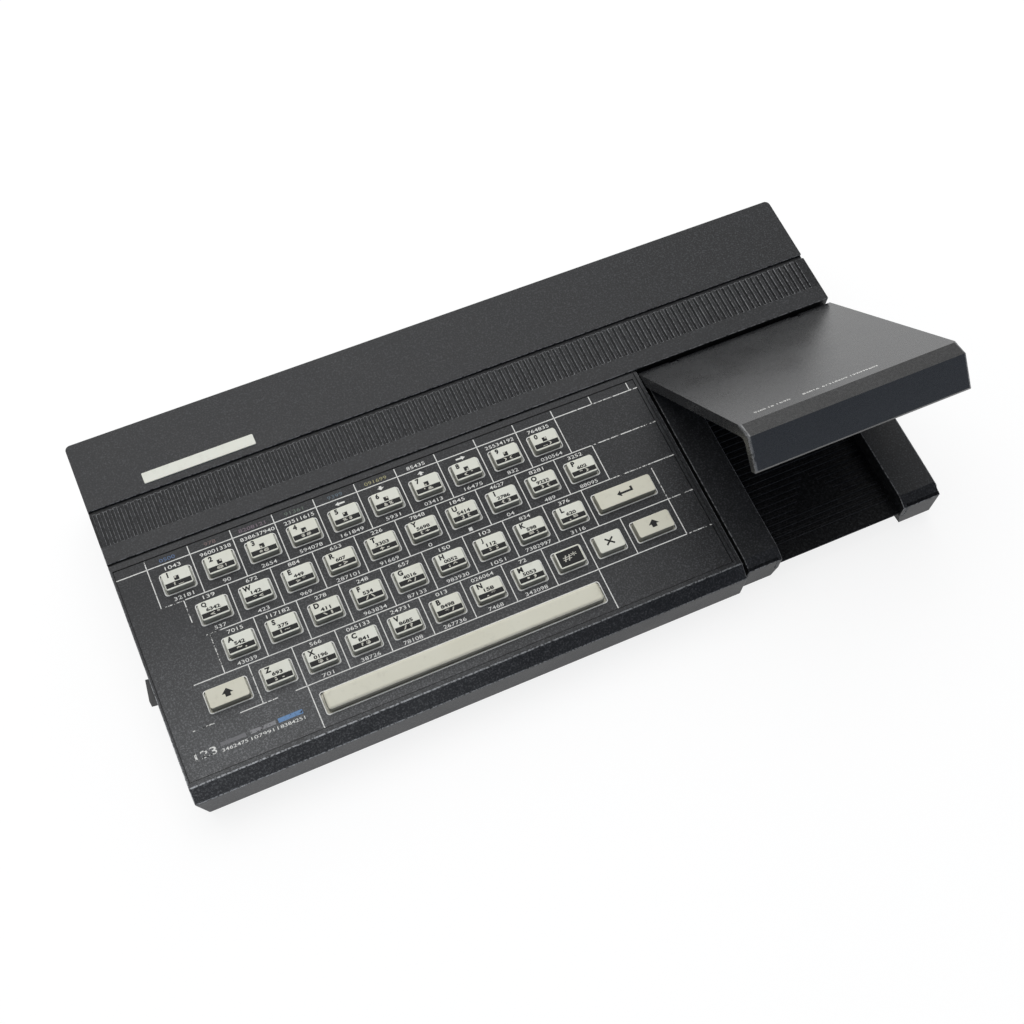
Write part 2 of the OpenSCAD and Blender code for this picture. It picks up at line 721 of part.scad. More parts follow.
module lower_room() {
    intersection() {
        along_x([left_x - 1, right_x + 1])
            polygon(inset(lower_side, [floor_t, wall, -1, wall]));
        along_y([front_y - 1, rear_y + 1])
            polygon(inset(lower_front, [floor_t, wall, -1, wall]));
        deck() {
            all = [-reach, reach];
            span([case_left, section_right - wall], all, all);
            span(bay_rim(wall + 1), [recess_wall_y + wall, reach], all);
            for (wing = [[wing_left_x + wall, bay_rim(wall)[0]],
                         [bay_rim(wall)[1], wing_side - wall]])
                span(wing, [wing_front + wall, reach], all);
            for (slot = [[section_right - wall - 1, bay_rim(wall)[0]],
                         [bay_rim(wall)[1], case_right]])
                span(slot, [slot_front + flange_corner_r, reach], [-reach, flange_slot_under]);
        }
    }
}

// The two sides of the gap that the bay's tray hangs in, and as much further out
function bay_rim(out = 0) =
    [bay_left - bay_wall - tray_gap - out, bay_right + bay_wall + tray_gap + out];

// The way in for fingertips under the bay's floor, narrower at the foot's level
module finger_way() {
    rim = bay_rim();
    under = tray_under - tray_gap;
    along_y([-reach, recess_wall_y]) polygon([
        [rim[0], reach], [rim[0], under], [bay_left, under],
        [bay_left - wing_draw, face_bottom], [bay_left - wing_draw, -reach],
        [bay_right + wing_draw, -reach], [bay_right + wing_draw, face_bottom],
        [bay_right, under], [rim[1], under], [rim[1], reach]
    ]);
}

module lower_case() {
    color(charcoal) difference() {
        union() {
            difference() {
                intersection() {
                    along_x([left_x, right_x]) polygon(lower_side);
                    along_y([front_y - 1, rear_y + 1]) polygon(lower_front);
                    translate([0, 0, foot_h - 1]) linear_extrude(reach) plan();
                }
                lower_room();
                deck() {
                    door_room();
                    finger_way();
                    span(bay_rim(), [-reach, 0], [tray_under, reach]);
                }
            }
            for (p = case_screw_places)
                translate([p[0], p[1], floor_z - 1])
                    cylinder(h = boss_joint_z - floor_z + 1, r = boss_r + 1);
            for (p = board_screw_places)
                translate([p[0], p[1], floor_z - 1]) cylinder(h = board_post_h + 1, r = 3);
        }
        for (p = case_screw_places) {
            translate([p[0], p[1], foot_h - 1]) cylinder(h = well_top - foot_h + 1, r = well_r);
            translate([p[0], p[1], foot_h - 1]) cylinder(h = 30, r = case_screw_r + 0.2);
        }
        for (p = board_screw_places)
            translate([p[0], p[1], floor_z]) cylinder(h = 30, r = board_screw_r, $fn = 24);
        for (p = foot_places)
            translate([p[0], p[1], foot_h - 1]) cylinder(h = foot_seat + 1, r = foot_d / 2);
        wall_openings();
    }
}

// --- Keyboard ---

module key_openings() {
    for (k = KEYS) translate([k[1], k[2]]) round_rect(k[3], key_h, key_corner_r);
}

module keyboard_faceplate() {
    g = faceplate_gap;
    color(plate_black) deck() translate([0, 0, plate_under]) linear_extrude(faceplate_t)
        difference() {
            translate([recess_left + g, recess_front + g])
                square([recess_right - recess_left - 2 * g, recess_rear - recess_front - 2 * g]);
            key_openings();
        }
}

// One key: a cap that tapers to its top, a flange under the faceplate and its stems
module key(k) {
    w = k[3] - 2 * key_gap;
    h = key_h - 2 * key_gap;
    s = cap_side_draw;
    color(cream) deck() translate([k[1], k[2], 0]) {
        intersection() {
            translate([0, 0, flange_under]) linear_extrude(cap_rise - flange_under)
                round_rect(w, h, key_corner_r - key_gap);
            along_y([-h, h]) polygon([
                [-w / 2, flange_under], [w / 2, flange_under], [w / 2, 0],
                [w / 2 - s, cap_rise], [s - w / 2, cap_rise], [-w / 2, 0]
            ]);
            along_x([-w, w]) polygon([
                [-h / 2, flange_under], [h / 2, flange_under], [h / 2, 0],
                [h / 2 - s, cap_rise], [cap_front_draw - h / 2, cap_rise], [-h / 2, 0]
            ]);
        }
        r = key_flange_reach;
        span((w / 2 + r) * [-1, 1], (h / 2 + r) * [-1, 1], [flange_under, plate_under]);
        for (x = stems(k[3]))
            translate([x, 0, stem_end]) cylinder(h = stem_l + 0.1, d = stem_d, $fn = 32);
    }
}

module dome_sheet() {
    g = 0.4;
    color(rubber_black) deck() {
        span([window_left + g, window_right - g], [window_front + g, window_rear - g],
            [sheet_under, sheet_top]);
        for (k = KEYS, x = stems(k[3]))
            translate([k[1] + x, k[2], sheet_top])
                cylinder(h = dome_h, d1 = dome_d, d2 = stem_d, $fn = 32);
    }
}

module keyboard_backplate() {
    x = [kb_screw_x[0] - 4, kb_screw_x[1] + 3.6];
    color(steel) difference() {
        deck() difference() {
            span(x, [window_front, window_rear], [backplate_under, sheet_under]);
            for (cx = kb_screw_x, cy = kb_screw_y)
                translate([cx, cy, backplate_under - 1])
                    cylinder(h = 3, r = kb_screw_r + 0.2, $fn = 24);
        }
        for (i = [0, 1]) translate(case_screw_places[i])
            cube([2 * boss_r + 2.4, 2 * boss_r + 2.4, reach], center = true);
        span([left_x, left_x + switch_depth + 0.4], around(rocker_part_y, switch_l / 2 + 0.4),
            [0, reach]);
    }
}

// --- Electronics ---

board_x = [left_x + wall + taper_left + 1.5, right_x - wall - taper_right - 1.5];
ribbon_x = [deck_x + ribbon_inset, deck_x + ribbon_inset + ribbon_w];
ribbon_y = part_y(window_rear, 0) + 8;
header_h = 5;

// Chips, cans and other soldered pieces: [x, y, width, depth, height]
chips = [
    [-120, -6, 52, 14, 4], [-52, -6, 52, 14, 4], [-124, 22, 36, 14, 4],
    [-76, 22, 36, 14, 4], [0, 22, 52, 14, 4], [18, -6, 20, 8, 4],
    [44, -6, 20, 8, 4], [-44, -25, 20, 8, 4], [8, -25, 20, 8, 4], [36, -25, 20, 8, 4]
];
shield = [88, 52, 44, 30, 18];
sink_place = [expansion_x - 60, 8];
sink_fins = 4;

module main_board() {
    color(board_green) difference() {
        union() {
            span(board_x, [part_y(-board_front, 0), rear_y - wall - 1], [board_z, board_top]);
            span(around(expansion_x, expansion_w / 2 - 4),
                [rear_y - 12, rear_y - jack_inset], [board_z, board_top]);
        }
        for (p = case_screw_places)
            translate([p[0], p[1], board_z - 1]) cylinder(h = 4, r = boss_r + 1.4);
        for (p = board_screw_places)
            translate([p[0], p[1], board_z - 1])
                cylinder(h = 4, r = board_screw_r + 0.15, $fn = 24);
    }
    color(rubber_black) for (c = chips)
        translate([c[0] - c[2] / 2, c[1] - c[3] / 2, board_top]) cube([c[2], c[3], c[4]]);
    color(steel) translate([shield[0] - shield[2] / 2, shield[1] - shield[3] / 2, board_top])
        cube([shield[2], shield[3], shield[4]]);
    color(steel) translate([sink_place[0], sink_place[1], board_top]) {
        cube([sink[0], sink[1], sink_t]);
        for (fin = [0:sink_fins - 1])
            translate([fin * (sink[0] - sink_t) / (sink_fins - 1), 0, 0])
                cube([sink_t, sink[1], sink[2]]);
    }
    color(cream) span([ribbon_x[0] - 2, ribbon_x[1] + 2], [ribbon_y - 1, ribbon_y + 3],
        [board_top, board_top + header_h]);
}

// Flat flexible tail from the keyboard's rear edge down to its header on the board
module keyboard_ribbon() {
    start = [part_y(window_rear, sheet_under), part_z(window_rear, sheet_under)];
    down = ribbon_y + 1;
    color(steel) along_x(ribbon_x) polygon([
        [start[0], start[1] - ribbon_t], [down, start[1] - ribbon_t],
        [down, board_top + header_h], [down + ribbon_t, board_top + header_h],
        [down + ribbon_t, start[1]], [start[0], start[1]]
    ]);
}

module cartridge_connector() {
    y = connector_y;
    color(rubber_black) difference() {
        deck() difference() {
            union() {
                span(around(connector_x, connector_w / 2), y,
                    [connector_z, connector_z + connector_h]);
                span(around(connector_x, connector_w / 2), riser_y, [-60, riser_top]);
            }
            span(around(connector_x, mouth_w / 2), [y[0] - 1, -bay_rear],
                around(connector_z + connector_h / 2, mouth_h / 2));
        }
        span([0, reach], [-reach, reach], [-reach, board_top]);
    }
}

// --- Door ---

// The inner outline of a side flange, in (y, z), from the hinge to the lip's foot
function flange_inside() = let (
        y = face_y + lip_flange, z = -flange_h, r = flange_corner_r, steps = 6
    ) concat(
        [[hinge_y - barrel_r, z]],
        [for (i = [0 : steps]) let (a = 90 + 90 * i / steps) [y + r + r * cos(a), z - r + r * sin(a)]],
        [[y, face_top - lip_h]]
    );

// The door as it lies when closed, in the deck frame
module closed_door() {
    x = [door_left, case_right];
    foot = face_top - lip_h;
    outside = [
        [face_y + lip_bevel, foot], [face_y, foot + lip_bevel], [face_y, face_top],
        [deck_front, 0]
    ];
    difference() {
        union() {
            along_x(x) polygon(concat(outside, [
                [hinge_y, 0], [hinge_y, -door_t], [door_inner_y, -door_t],
                [face_y + lip_t, door_inner_z], [face_y + lip_t, foot]
            ]));
            along_x(x) translate([hinge_y, hinge_z]) circle(barrel_r);
            for (x0 = [door_left, case_right - flange_t])
                along_x([x0, x0 + flange_t])
                    polygon(concat(outside, [[hinge_y - barrel_r, 0]], flange_inside()));
        }
        for (lx = lug_x) {
            span(around(lx, lug_w / 2 + door_gap),
                [hinge_y - barrel_r - 0.7, reach], [-20, 5]);
            hinge_bore(lx, pin_r + pin_clearance, lug_w + 12 + 2 * door_gap);
        }
    }
}

module cartridge_door() {
    color(door_grey) deck() translate([0, hinge_y, hinge_z]) rotate([-door_rest, 0, 0])
        translate([0, -hinge_y, -hinge_z]) closed_door();
}

module door_hinge_pins() {
    color(steel) deck() for (x = lug_x) hinge_bore(x, pin_r, min(pin_l, lug_w + 10));
}

// --- Power switch ---

module power_rocker() {
    e = rocker_edge();
    l = rocker_l / 2;
    color(plate_black) translate([pivot_x, rocker_part_y, rocker_z])
        rotate([0, 0, -rocker_swing / 2]) {
            translate([0, 0, -rocker_h / 2]) linear_extrude(rocker_h) union() {
                polygon([[-e, -l], [-e, l], [-1, l], [2, 2], [2, -2], [-1, -l]]);
            }
            cylinder(h = switch_h, r = pivot_r, center = true, $fn = 32);
        }
}

module power_switch_body() {
    color(rubber_black) difference() {
        span([left_x, left_x + switch_depth], around(rocker_part_y, switch_l / 2),
            around(rocker_z, switch_h / 2));
        span([left_x - 1, left_x + pivot_depth + 5], around(rocker_part_y, well_l / 2),
            around(rocker_z, well_h / 2));
        translate([pivot_x, rocker_part_y, rocker_z])
            cylinder(h = 60, r = pivot_r + 0.05, center = true, $fn = 32);
    }
}

// --- Sockets ---

// A nine-pin socket that faces -X, with its flange's outer face at x = 0
module nine_pin_socket() {
    shell = [[-8.4, 4], [8.4, 4], [7, -4], [-7, -4]];
    t = 0.6;
    rotate([90, 0, -90]) {
        difference() {
            union() {
                translate([0, 0, -3]) linear_extrude(1) square(joystick_flange, center = true);
                translate([0, 0, -3]) linear_extrude(3 - 0.4) polygon(shell);
                translate([0, 0, -12]) linear_extrude(9.5) square([19, 10], center = true);
            }
            translate([0, 0, -7]) linear_extrude(20) polygon(inset(shell, [-t, -t, -t, -t]));
        }
        for (i = [0 : 4]) translate([(i - 2) * 2.77, 1.42, -7.5])
            cylinder(h = 5, r = 0.5, $fn = 16);
        for (i = [0 : 3]) translate([(i - 1.5) * 2.77, -1.42, -7.5])
            cylinder(h = 5, r = 0.5, $fn = 16);
    }
}

module joystick_sockets() {
    color(steel) {
        translate([left_x, joystick_y, joystick_z]) nine_pin_socket();
        translate([right_x, joystick_y, joystick_z]) mirror([1, 0, 0]) nine_pin_socket();
    }
}

module rear_block(x, size) {
    face = rear_y - jack_inset;
    span(around(x, size[0] / 2), [face - size[1], face], [board_top, board_top + size[2]]);
}

module audio_jacks() {
    color(rubber_black) for (s = [-1, 1]) difference() {
        rear_block(audio_x + s * audio_pitch / 2, audio_size);
        translate([audio_x + s * audio_pitch / 2, rear_y, board_top + audio_size[2] / 2])
            rotate([90, 0, 0]) cylinder(h = audio_bore_l + jack_inset, d = audio_bore_d);
    }
}

module video_jacks() {
    z = board_top + video_size[2] / 2;
    y0 = rear_y - jack_inset;
    for (s = [-1, 1]) translate([video_x + s * video_pitch / 2, 0, 0]) {
        color(rubber_black) span(video_size[0] / 2 * [-1, 1],
            [y0 - video_collar_l - video_size[1], y0 - video_collar_l],
            [board_top, board_top + video_size[2]]);
        color(steel) translate([0, y0, z]) rotate([90, 0, 0]) difference() {
            cylinder(h = video_collar_l + 1, d = video_collar_d);
            translate([0, 0, -1]) cylinder(h = video_collar_l, d = 3.4);
        }
    }
}

module power_jack() {
    color(rubber_black) difference() {
        rear_block(power_x, power_size);
        translate([power_x, rear_y, board_top + power_size[2] / 2]) rotate([90, 0, 0])
            cylinder(h = 10, d = power_bore_d);
    }
    color(steel) translate([power_x, rear_y - jack_inset - 2, board_top + power_size[2] / 2])
        rotate([90, 0, 0]) cylinder(h = 9, d = 2, $fn = 24);
}

// --- Feet and screws ---

module rubber_feet() {
    color(rubber_black) for (p = foot_places)
        translate([p[0], p[1], 0]) cylinder(h = foot_h + foot_seat, r = foot_d / 2);
}

// A pan-head screw along +Z, with the underside of its head at z = 0
module pan_screw(r, l, head_r, head_h) {
    translate([0, 0, -head_h]) cylinder(h = head_h, r = head_r, $fn = 24);
    cylinder(h = l, r = r, $fn = 24);
}

module screws() {
    color(steel) {
        for (p = case_screw_places) translate([p[0], p[1], well_top])
            pan_screw(case_screw_r, boss_joint_z - well_top + 4, case_head_r, 2);
        for (p = board_screw_places) translate([p[0], p[1], board_top]) mirror([0, 0, 1])
            pan_screw(board_screw_r, board_t + board_post_h, 2.4, 1.6);
        deck() for (x = kb_screw_x, y = kb_screw_y) translate([x, y, backplate_under])
            pan_screw(kb_screw_r, backplate_t + 2.6, 2, 1.2);
    }
}

upper_case();
lower_case();
keyboard_faceplate();
dome_sheet();
keyboard_backplate();
keyboard_ribbon();
main_board();
cartridge_connector();
cartridge_door();
door_hinge_pins();
power_rocker();
power_switch_body();
joystick_sockets();
audio_jacks();
video_jacks();
power_jack();
rubber_feet();
screws();
for (k = KEYS) key(k);
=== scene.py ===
"""Looks of a vintage home computer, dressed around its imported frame.

The frame is in metres, +Z up, with the keyboard towards -Y. Sizes here are in millimetres
unless a comment says otherwise. Most pieces are drawn on the deck, the case's tilted top:
x runs to the right from the keyboard's left grid line, y to the rear from its top grid line,
and z stands off the deck's surface.
"""

from __future__ import annotations

import json
import logging
import math
import random
from dataclasses import dataclass, field
from enum import Enum
from typing import Any, Callable, Iterator, Union

import bmesh
import bpy
from mathutils import Matrix, Vector

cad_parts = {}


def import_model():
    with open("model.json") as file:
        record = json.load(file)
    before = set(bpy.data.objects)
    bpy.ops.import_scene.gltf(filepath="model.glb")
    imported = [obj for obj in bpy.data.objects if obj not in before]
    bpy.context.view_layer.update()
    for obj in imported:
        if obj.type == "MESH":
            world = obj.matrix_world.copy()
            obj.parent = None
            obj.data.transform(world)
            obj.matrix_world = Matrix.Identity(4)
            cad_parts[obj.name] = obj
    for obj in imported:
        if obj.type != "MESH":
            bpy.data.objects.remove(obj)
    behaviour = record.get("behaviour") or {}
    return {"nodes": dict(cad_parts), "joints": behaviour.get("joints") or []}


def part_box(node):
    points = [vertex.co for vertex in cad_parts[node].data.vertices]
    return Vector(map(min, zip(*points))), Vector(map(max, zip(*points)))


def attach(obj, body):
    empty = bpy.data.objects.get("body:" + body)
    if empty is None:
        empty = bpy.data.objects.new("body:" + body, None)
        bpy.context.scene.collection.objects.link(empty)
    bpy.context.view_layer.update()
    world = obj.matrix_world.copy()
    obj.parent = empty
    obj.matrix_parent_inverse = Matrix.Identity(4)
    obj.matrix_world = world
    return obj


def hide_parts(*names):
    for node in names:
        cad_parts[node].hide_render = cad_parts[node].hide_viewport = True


MM = 0.001

# Layers that the meshes hand to the materials: pale edges of wear and painted highlight, painted
# shade, rubbed print, ink
EDGE_LAYER = "edge"
SHADE_LAYER = "soil"
WEAR_LAYER = "wear"
TINT_LAYER = "tint"

Colour = tuple[float, float, float]
Point = tuple[float, float]
Place = tuple[float, float, float]
Number = Union[int, float]

log = logging.getLogger("home_computer")


# --- Shader maths -----------------------------------------------------------------------


def linear(colour: Colour) -> tuple[float, float, float, float]:
    """Turn a colour of 0 to 255 a channel, as a screen shows it, into scene light.

    Args:
        colour: Red, green and blue, 0 to 255.

    Returns:
        The linear colour with an alpha of 1.
    """
    shown = [channel / 255 for channel in colour]
    light = [c / 12.92 if c <= 0.04045 else ((c + 0.055) / 1.055) ** 2.4 for c in shown]
    return (light[0], light[1], light[2], 1.0)


class Wire:
    """One output of a graph's nodes, with arithmetic that adds Math nodes."""

    def __init__(self, graph: "Graph", socket: bpy.types.NodeSocket) -> None:
        """Wrap a socket of the given graph."""
        self.graph = graph
        self.socket = socket

    def maths(self, operation: str, first: "Operand", second: "Operand" = 0.0) -> "Wire":
        """Add a Math node.

        Args:
            operation: Blender's name of the operation.
            first: The node's first value.
            second: The node's second value.

        Returns:
            The node's output.
        """
        inputs = {0: first, 1: second}
        return self.graph.node("ShaderNodeMath", {"operation": operation}, inputs)

    def __add__(self, other: "Operand") -> "Wire":
        """Sum of this wire and a value."""
        return self.maths("ADD", self, other)

    def __radd__(self, other: "Operand") -> "Wire":
        """Sum of a value and this wire."""
        return self.maths("ADD", other, self)

    def __sub__(self, other: "Operand") -> "Wire":
        """This wire less a value."""
        return self.maths("SUBTRACT", self, other)

    def __rsub__(self, other: "Operand") -> "Wire":
        """A value less this wire."""
        return self.maths("SUBTRACT", other, self)

    def __mul__(self, other: "Operand") -> "Wire":
        """Product of this wire and a value."""
        return self.maths("MULTIPLY", self, other)

    def __rmul__(self, other: "Operand") -> "Wire":
        """Product of a value and this wire."""
        return self.maths("MULTIPLY", other, self)

    def __gt__(self, other: "Operand") -> "Wire":
        """1 where this wire is above a value, and 0 elsewhere."""
        return self.maths("GREATER_THAN", self, other)

    def __lt__(self, other: "Operand") -> "Wire":
        """1 where this wire is below a value, and 0 elsewhere."""
        return self.maths("LESS_THAN", self, other)

    def ramp(self, low: float, high: float) -> "Wire":
        """Stretch low to high over 0 to 1, smoothly and clamped.

        Args:
            low: Value that gives 0.
            high: Value that gives 1.

        Returns:
            The stretched value.
        """
        settings = {"interpolation_type": "SMOOTHSTEP", "clamp": True}
        inputs = {"Value": self, "From Min": low, "From Max": high}
        return self.graph.node("ShaderNodeMapRange", settings, inputs)


Operand = Union[Wire, Number]


class Graph:
    """Nodes under construction in one node tree."""

    def __init__(self, tree: bpy.types.NodeTree) -> None:
        """Work on a node tree.

        Args:
            tree: The tree of a material or of the world.
        """
        self.tree = tree

    def node(
        self,
        kind: str,
        settings: dict[str, Any] | None = None,
        inputs: dict[str | int, Any] | None = None,
        output: str | int = 0,
    ) -> Wire:
        """Add any node.

        Args:
            kind: Blender's name of the node type.
            settings: Properties of the node, set before its sockets.
            inputs: Values or wires by socket name or number.
            output: The socket to hand back.

        Returns:
            The chosen output.
        """
        made = self.tree.nodes.new(kind)
        for key, value in (settings or {}).items():
            setattr(made, key, value)
        for key, value in (inputs or {}).items():
            self.feed(made.inputs[key], value)
        return Wire(self, made.outputs[output])

    def feed(self, socket: bpy.types.NodeSocket, value: Any) -> None:
        """Link a wire to a socket, or set the socket's own value.

        Args:
            socket: The socket to feed.
            value: A wire, or a plain value.
        """
        if isinstance(value, Wire):
            self.tree.links.new(value.socket, socket)
        else:
            socket.default_value = value

    def mix(self, amount: Operand, first: Any, second: Any) -> Wire:
        """Blend two colours.

        Args:
            amount: 0 for the first colour, 1 for the second.
            first: Colour or wire.
            second: Colour or wire.

        Returns:
            The blended colour.
        """
        inputs = {0: amount, 6: first, 7: second}
        return self.node("ShaderNodeMix", {"data_type": "RGBA"}, inputs, output=2)


class Surface(Graph):
    """A material under construction: its nodes, and the shader that ends them."""

    # Tone, roughness and gloss of the near-black painted shade that is laid over marked faces
    dirt: Colour = (7, 7, 8)
    painted_shade_roughness: float = 0.9
    painted_shade_gloss: float = 0.05

    def __init__(self, name: str) -> None:
        """Start a material with one Principled shader.

        Args:
            name: The material's name.
        """
        self.material = bpy.data.materials.new(name)
        self.material.use_nodes = True
        super().__init__(self.material.node_tree)
        self.tree.nodes.clear()
        self.output = self.tree.nodes.new("ShaderNodeOutputMaterial")
        self.shader = self.tree.nodes.new("ShaderNodeBsdfPrincipled")
        self.tree.links.new(self.shader.outputs[0], self.output.inputs[0])
        self.place = self.node("ShaderNodeTexCoord", output="Object")

    def set(self, **sockets: Any) -> None:
        """Feed the shader's sockets, named with underscores for spaces."""
        for name, value in sockets.items():
            self.feed(self.shader.inputs[name.replace("_", " ")], value)

    def layer(self, name: str, output: str = "Fac") -> Wire:
        """Read a layer of the mesh, which is 0 where a mesh has none.

        Args:
            name: The layer's name.
            output: Fac for a number, Color for a colour.

        Returns:
            The layer's value.
        """
        return self.node("ShaderNodeAttribute", {"attribute_name": name}, None, output)

    def noise(self, size: float, detail: float = 2.0, roughness: float = 0.5) -> Wire:
        """Cloudy noise of a given size.

        Args:
            size: Rough width of one blot, mm.
            detail: Number of finer octaves.
            roughness: Weight of the finer octaves.

        Returns:
            The noise, about 0.5 on average.
        """
        inputs = {
            "Vector": self.place,
            "Scale": 1 / (size * MM),
            "Detail": detail,
            "Roughness": roughness,
        }
        return self.node("ShaderNodeTexNoise", None, inputs)

    def paint_shade(self, amount: Wire) -> None:
        """Cover the surface with a matt near-black painted shade.

        Args:
            amount: How much of the painted shade shows, 0 to 1.
        """
        inputs = {
            "Base Color": linear(self.dirt),
            "Roughness": self.painted_shade_roughness,
            "Specular IOR Level": self.painted_shade_gloss,
        }
        dirt = self.node("ShaderNodeBsdfPrincipled", None, inputs)
        inputs = {0: amount, 1: Wire(self, self.shader.outputs[0]), 2: dirt}
        self.feed(self.output.inputs[0], self.node("ShaderNodeMixShader", None, inputs))

    def bump(self, height: Wire, strength: float, distance: float) -> Wire:
        """Turn a height into a shading normal.

        Args:
            height: The height, 0 to 1.
            strength: How much of the relief shows.
            distance: The relief's real depth, mm.

        Returns:
            The normal.
        """
        inputs = {"Strength": strength, "Distance": distance * MM, "Height": height}
        return self.node("ShaderNodeBump", None, inputs)


# --- Finishes ---------------------------------------------------------------------------


@dataclass(frozen=True)
class GrainedPlastic:
    """Moulded plastic with an etched grain and paler flecks that are painted glints. Its rounded
    edges are pale with wear and a painted highlight, a paler patch where hands rub also paints in
    light that fades away from that place, and painted shade darkens the faces that the mesh marks.

    The sizes of grain and streak are in millimetres. The handled and lit place and its reach are in
    the frame's metres, and a spread below 1 stretches that reach along the case's width.
    """

    name: str
    colour: Colour
    roughness: float = 0.5
    grain: float = 0.8
    relief: float = 0.35
    glint_fleck: float = 0.5
    glint_fleck_colour: Colour = (74, 75, 78)
    mottle: float = 0.4
    mottle_size: float = 30.0
    rub: float = 0.4
    rub_and_glint_colour: Colour = (182, 184, 186)
    streak: float = 1.2
    specular: float = 0.5
    handled_and_lit: Place | None = None
    reach: float = 0.085
    spread: float = 0.4
    dulled_and_lit: float = 0.6
    dulled_and_lit_colour: Colour = (112, 113, 114)
    grain_depth: float = 0.1

    def material(self) -> bpy.types.Material:
        """Build the material.

        Returns:
            The finished material.
        """
        skin = Surface(self.name)
        grain = skin.noise(self.grain, 3, 0.7)
        cloud = skin.noise(self.grain * self.mottle_size, 4, 0.6)
        streak = skin.noise(self.streak, 3, 0.7).ramp(0.36, 0.6)
        # Paler flecks on the grain's raised spots: painted glints
        glint_fleck = grain.ramp(0.46, 0.7)
        # Paler patch round the handled place: hand wear, and painted light that fades away from it
        worn = self.touched_and_lit(skin, cloud)
        paler = linear(tuple(c * 1.4 + 4 for c in self.colour))
        base = skin.mix(cloud.ramp(0.35, 0.7) * self.mottle, linear(self.colour), paler)
        shade = skin.mix(glint_fleck * self.glint_fleck, base, linear(self.glint_fleck_colour))
        dull_and_lit = (glint_fleck * 0.7 + 0.3) * worn * self.dulled_and_lit
        greyed = skin.mix(dull_and_lit, shade, linear(self.dulled_and_lit_colour))
        # Pale rounded edges: wear, and a painted highlight that is strongest near the handled place
        rubbed = skin.layer(EDGE_LAYER) * streak * (worn * 0.6 + self.rub)
        skin.set(
            Base_Color=skin.mix(rubbed, greyed, linear(self.rub_and_glint_colour)),
            Roughness=self.roughness + (grain - 0.5) * 0.25 + (cloud - 0.5) * 0.15,
            Specular_IOR_Level=self.specular,
            Normal=skin.bump(grain, self.relief, self.grain_depth),
        )
        # Painted shade over the marked faces: among the ribs, in the bay and on the door's front
        skin.paint_shade(skin.layer(SHADE_LAYER) * (0.45 + streak * 0.3))
        return skin.material

    def touched_and_lit(self, skin: Surface, cloud: Wire) -> Operand:
        """How much hands have dulled the surface, together with a painted pool of light that fades
        away from the same place.

        Args:
            skin: The material under construction.
            cloud: Noise that makes the dulled and lit patch uneven.

        Returns:
            The amount, about 1 at the handled and lit place, or 0 all over where there is none.
        """
        if self.handled_and_lit is None:
            return 0.0
        inputs = {"Vector": skin.place, "Scale": (self.spread, 1, 1)}
        drawn = skin.node("ShaderNodeMapping", {"vector_type": "POINT"}, inputs)
        x, y, z = self.handled_and_lit
        inputs = {0: drawn, 1: (x * self.spread, y, z)}
        away = skin.node("ShaderNodeVectorMath", {"operation": "DISTANCE"}, inputs, "Value")
        return (1 - away.ramp(0.0, self.reach)) * (0.5 + cloud)


@dataclass(frozen=True)
class KeyPlastic:
    """Cream cap plastic, with the faint yellowing and finger wear of old keys, and painted shade on
    the caps' upright sides.
    """

    name: str
    colour: Colour
    yellowed: Colour
    roughness: float = 0.42
    fingered: Colour = (150, 146, 132)
    skirt_shade: Colour = (104, 102, 92)

    def material(self) -> bpy.types.Material:
        """Build the material.

        Returns:
            The finished material.
        """
        skin = Surface(self.name)
        cloud = skin.noise(34, 2, 0.5)
        grain = skin.noise(0.5, 2, 0.5)
        soil = skin.noise(3.2, 3, 0.6)
        base = skin.mix(cloud.ramp(0.3, 0.7) * 0.7, linear(self.colour), linear(self.yellowed))
        worn = skin.mix(soil.ramp(0.52, 0.8) * 0.18, base, linear(self.fingered))
        # Painted shade on the upright sides of a cap, uneven in strength
        skirt = skin.layer(SHADE_LAYER) * (0.55 + soil * 0.4)
        skin.set(
            Base_Color=skin.mix(skirt, worn, linear(self.skirt_shade)),
            Roughness=self.roughness + (soil - 0.5) * 0.2,
            Normal=skin.bump(grain, 0.15, 0.03),
        )
        return skin.material


@dataclass(frozen=True)
class PrintedInk:
    """Screen-printed ink that takes its colour and its wear from the print's own layers."""

    name: str
    ground: Colour
    roughness: float = 0.5
    specular: float = 0.25

    def material(self) -> bpy.types.Material:
        """Build the material.

        Returns:
            The finished material.
        """
        skin = Surface(self.name)
        flake = skin.noise(1.1, 3, 0.7)
        patch = skin.noise(6.0, 2, 0.5)
        thin = skin.noise(0.4, 2, 0.5)
        lost = (skin.layer(WEAR_LAYER) - flake * 0.65 - patch * 0.35).ramp(-0.03, 0.04)
        tint = skin.layer(TINT_LAYER, "Color")
        faded = skin.mix(thin.ramp(0.45, 0.75) * 0.3, tint, linear(self.ground))
        skin.set(
            Base_Color=skin.mix(lost, faded, linear(self.ground)),
            Roughness=self.roughness + (thin - 0.5) * 0.1,
            Specular_IOR_Level=self.specular,
        )
        return skin.material


@dataclass(frozen=True)
class BareMetal:
    """Plated or rolled metal with a fine directional unevenness."""

    name: str
    colour: Colour
    roughness: float = 0.32
    metallic: float = 1.0

    def material(self) -> bpy.types.Material:
        """Build the material.

        Returns:
            The finished material.
        """
        skin = Surface(self.name)
        cloud = skin.noise(6, 3, 0.6)
        hair = skin.noise(0.3, 2, 0.5)
        dark = linear(tuple(c * 0.75 for c in self.colour))
        skin.set(
            Base_Color=skin.mix(cloud.ramp(0.35, 0.7), linear(self.colour), dark),
            Metallic=self.metallic,
            Roughness=self.roughness + (hair - 0.5) * 0.25,
            Normal=skin.bump(hair, 0.2, 0.02),
        )
        return skin.material


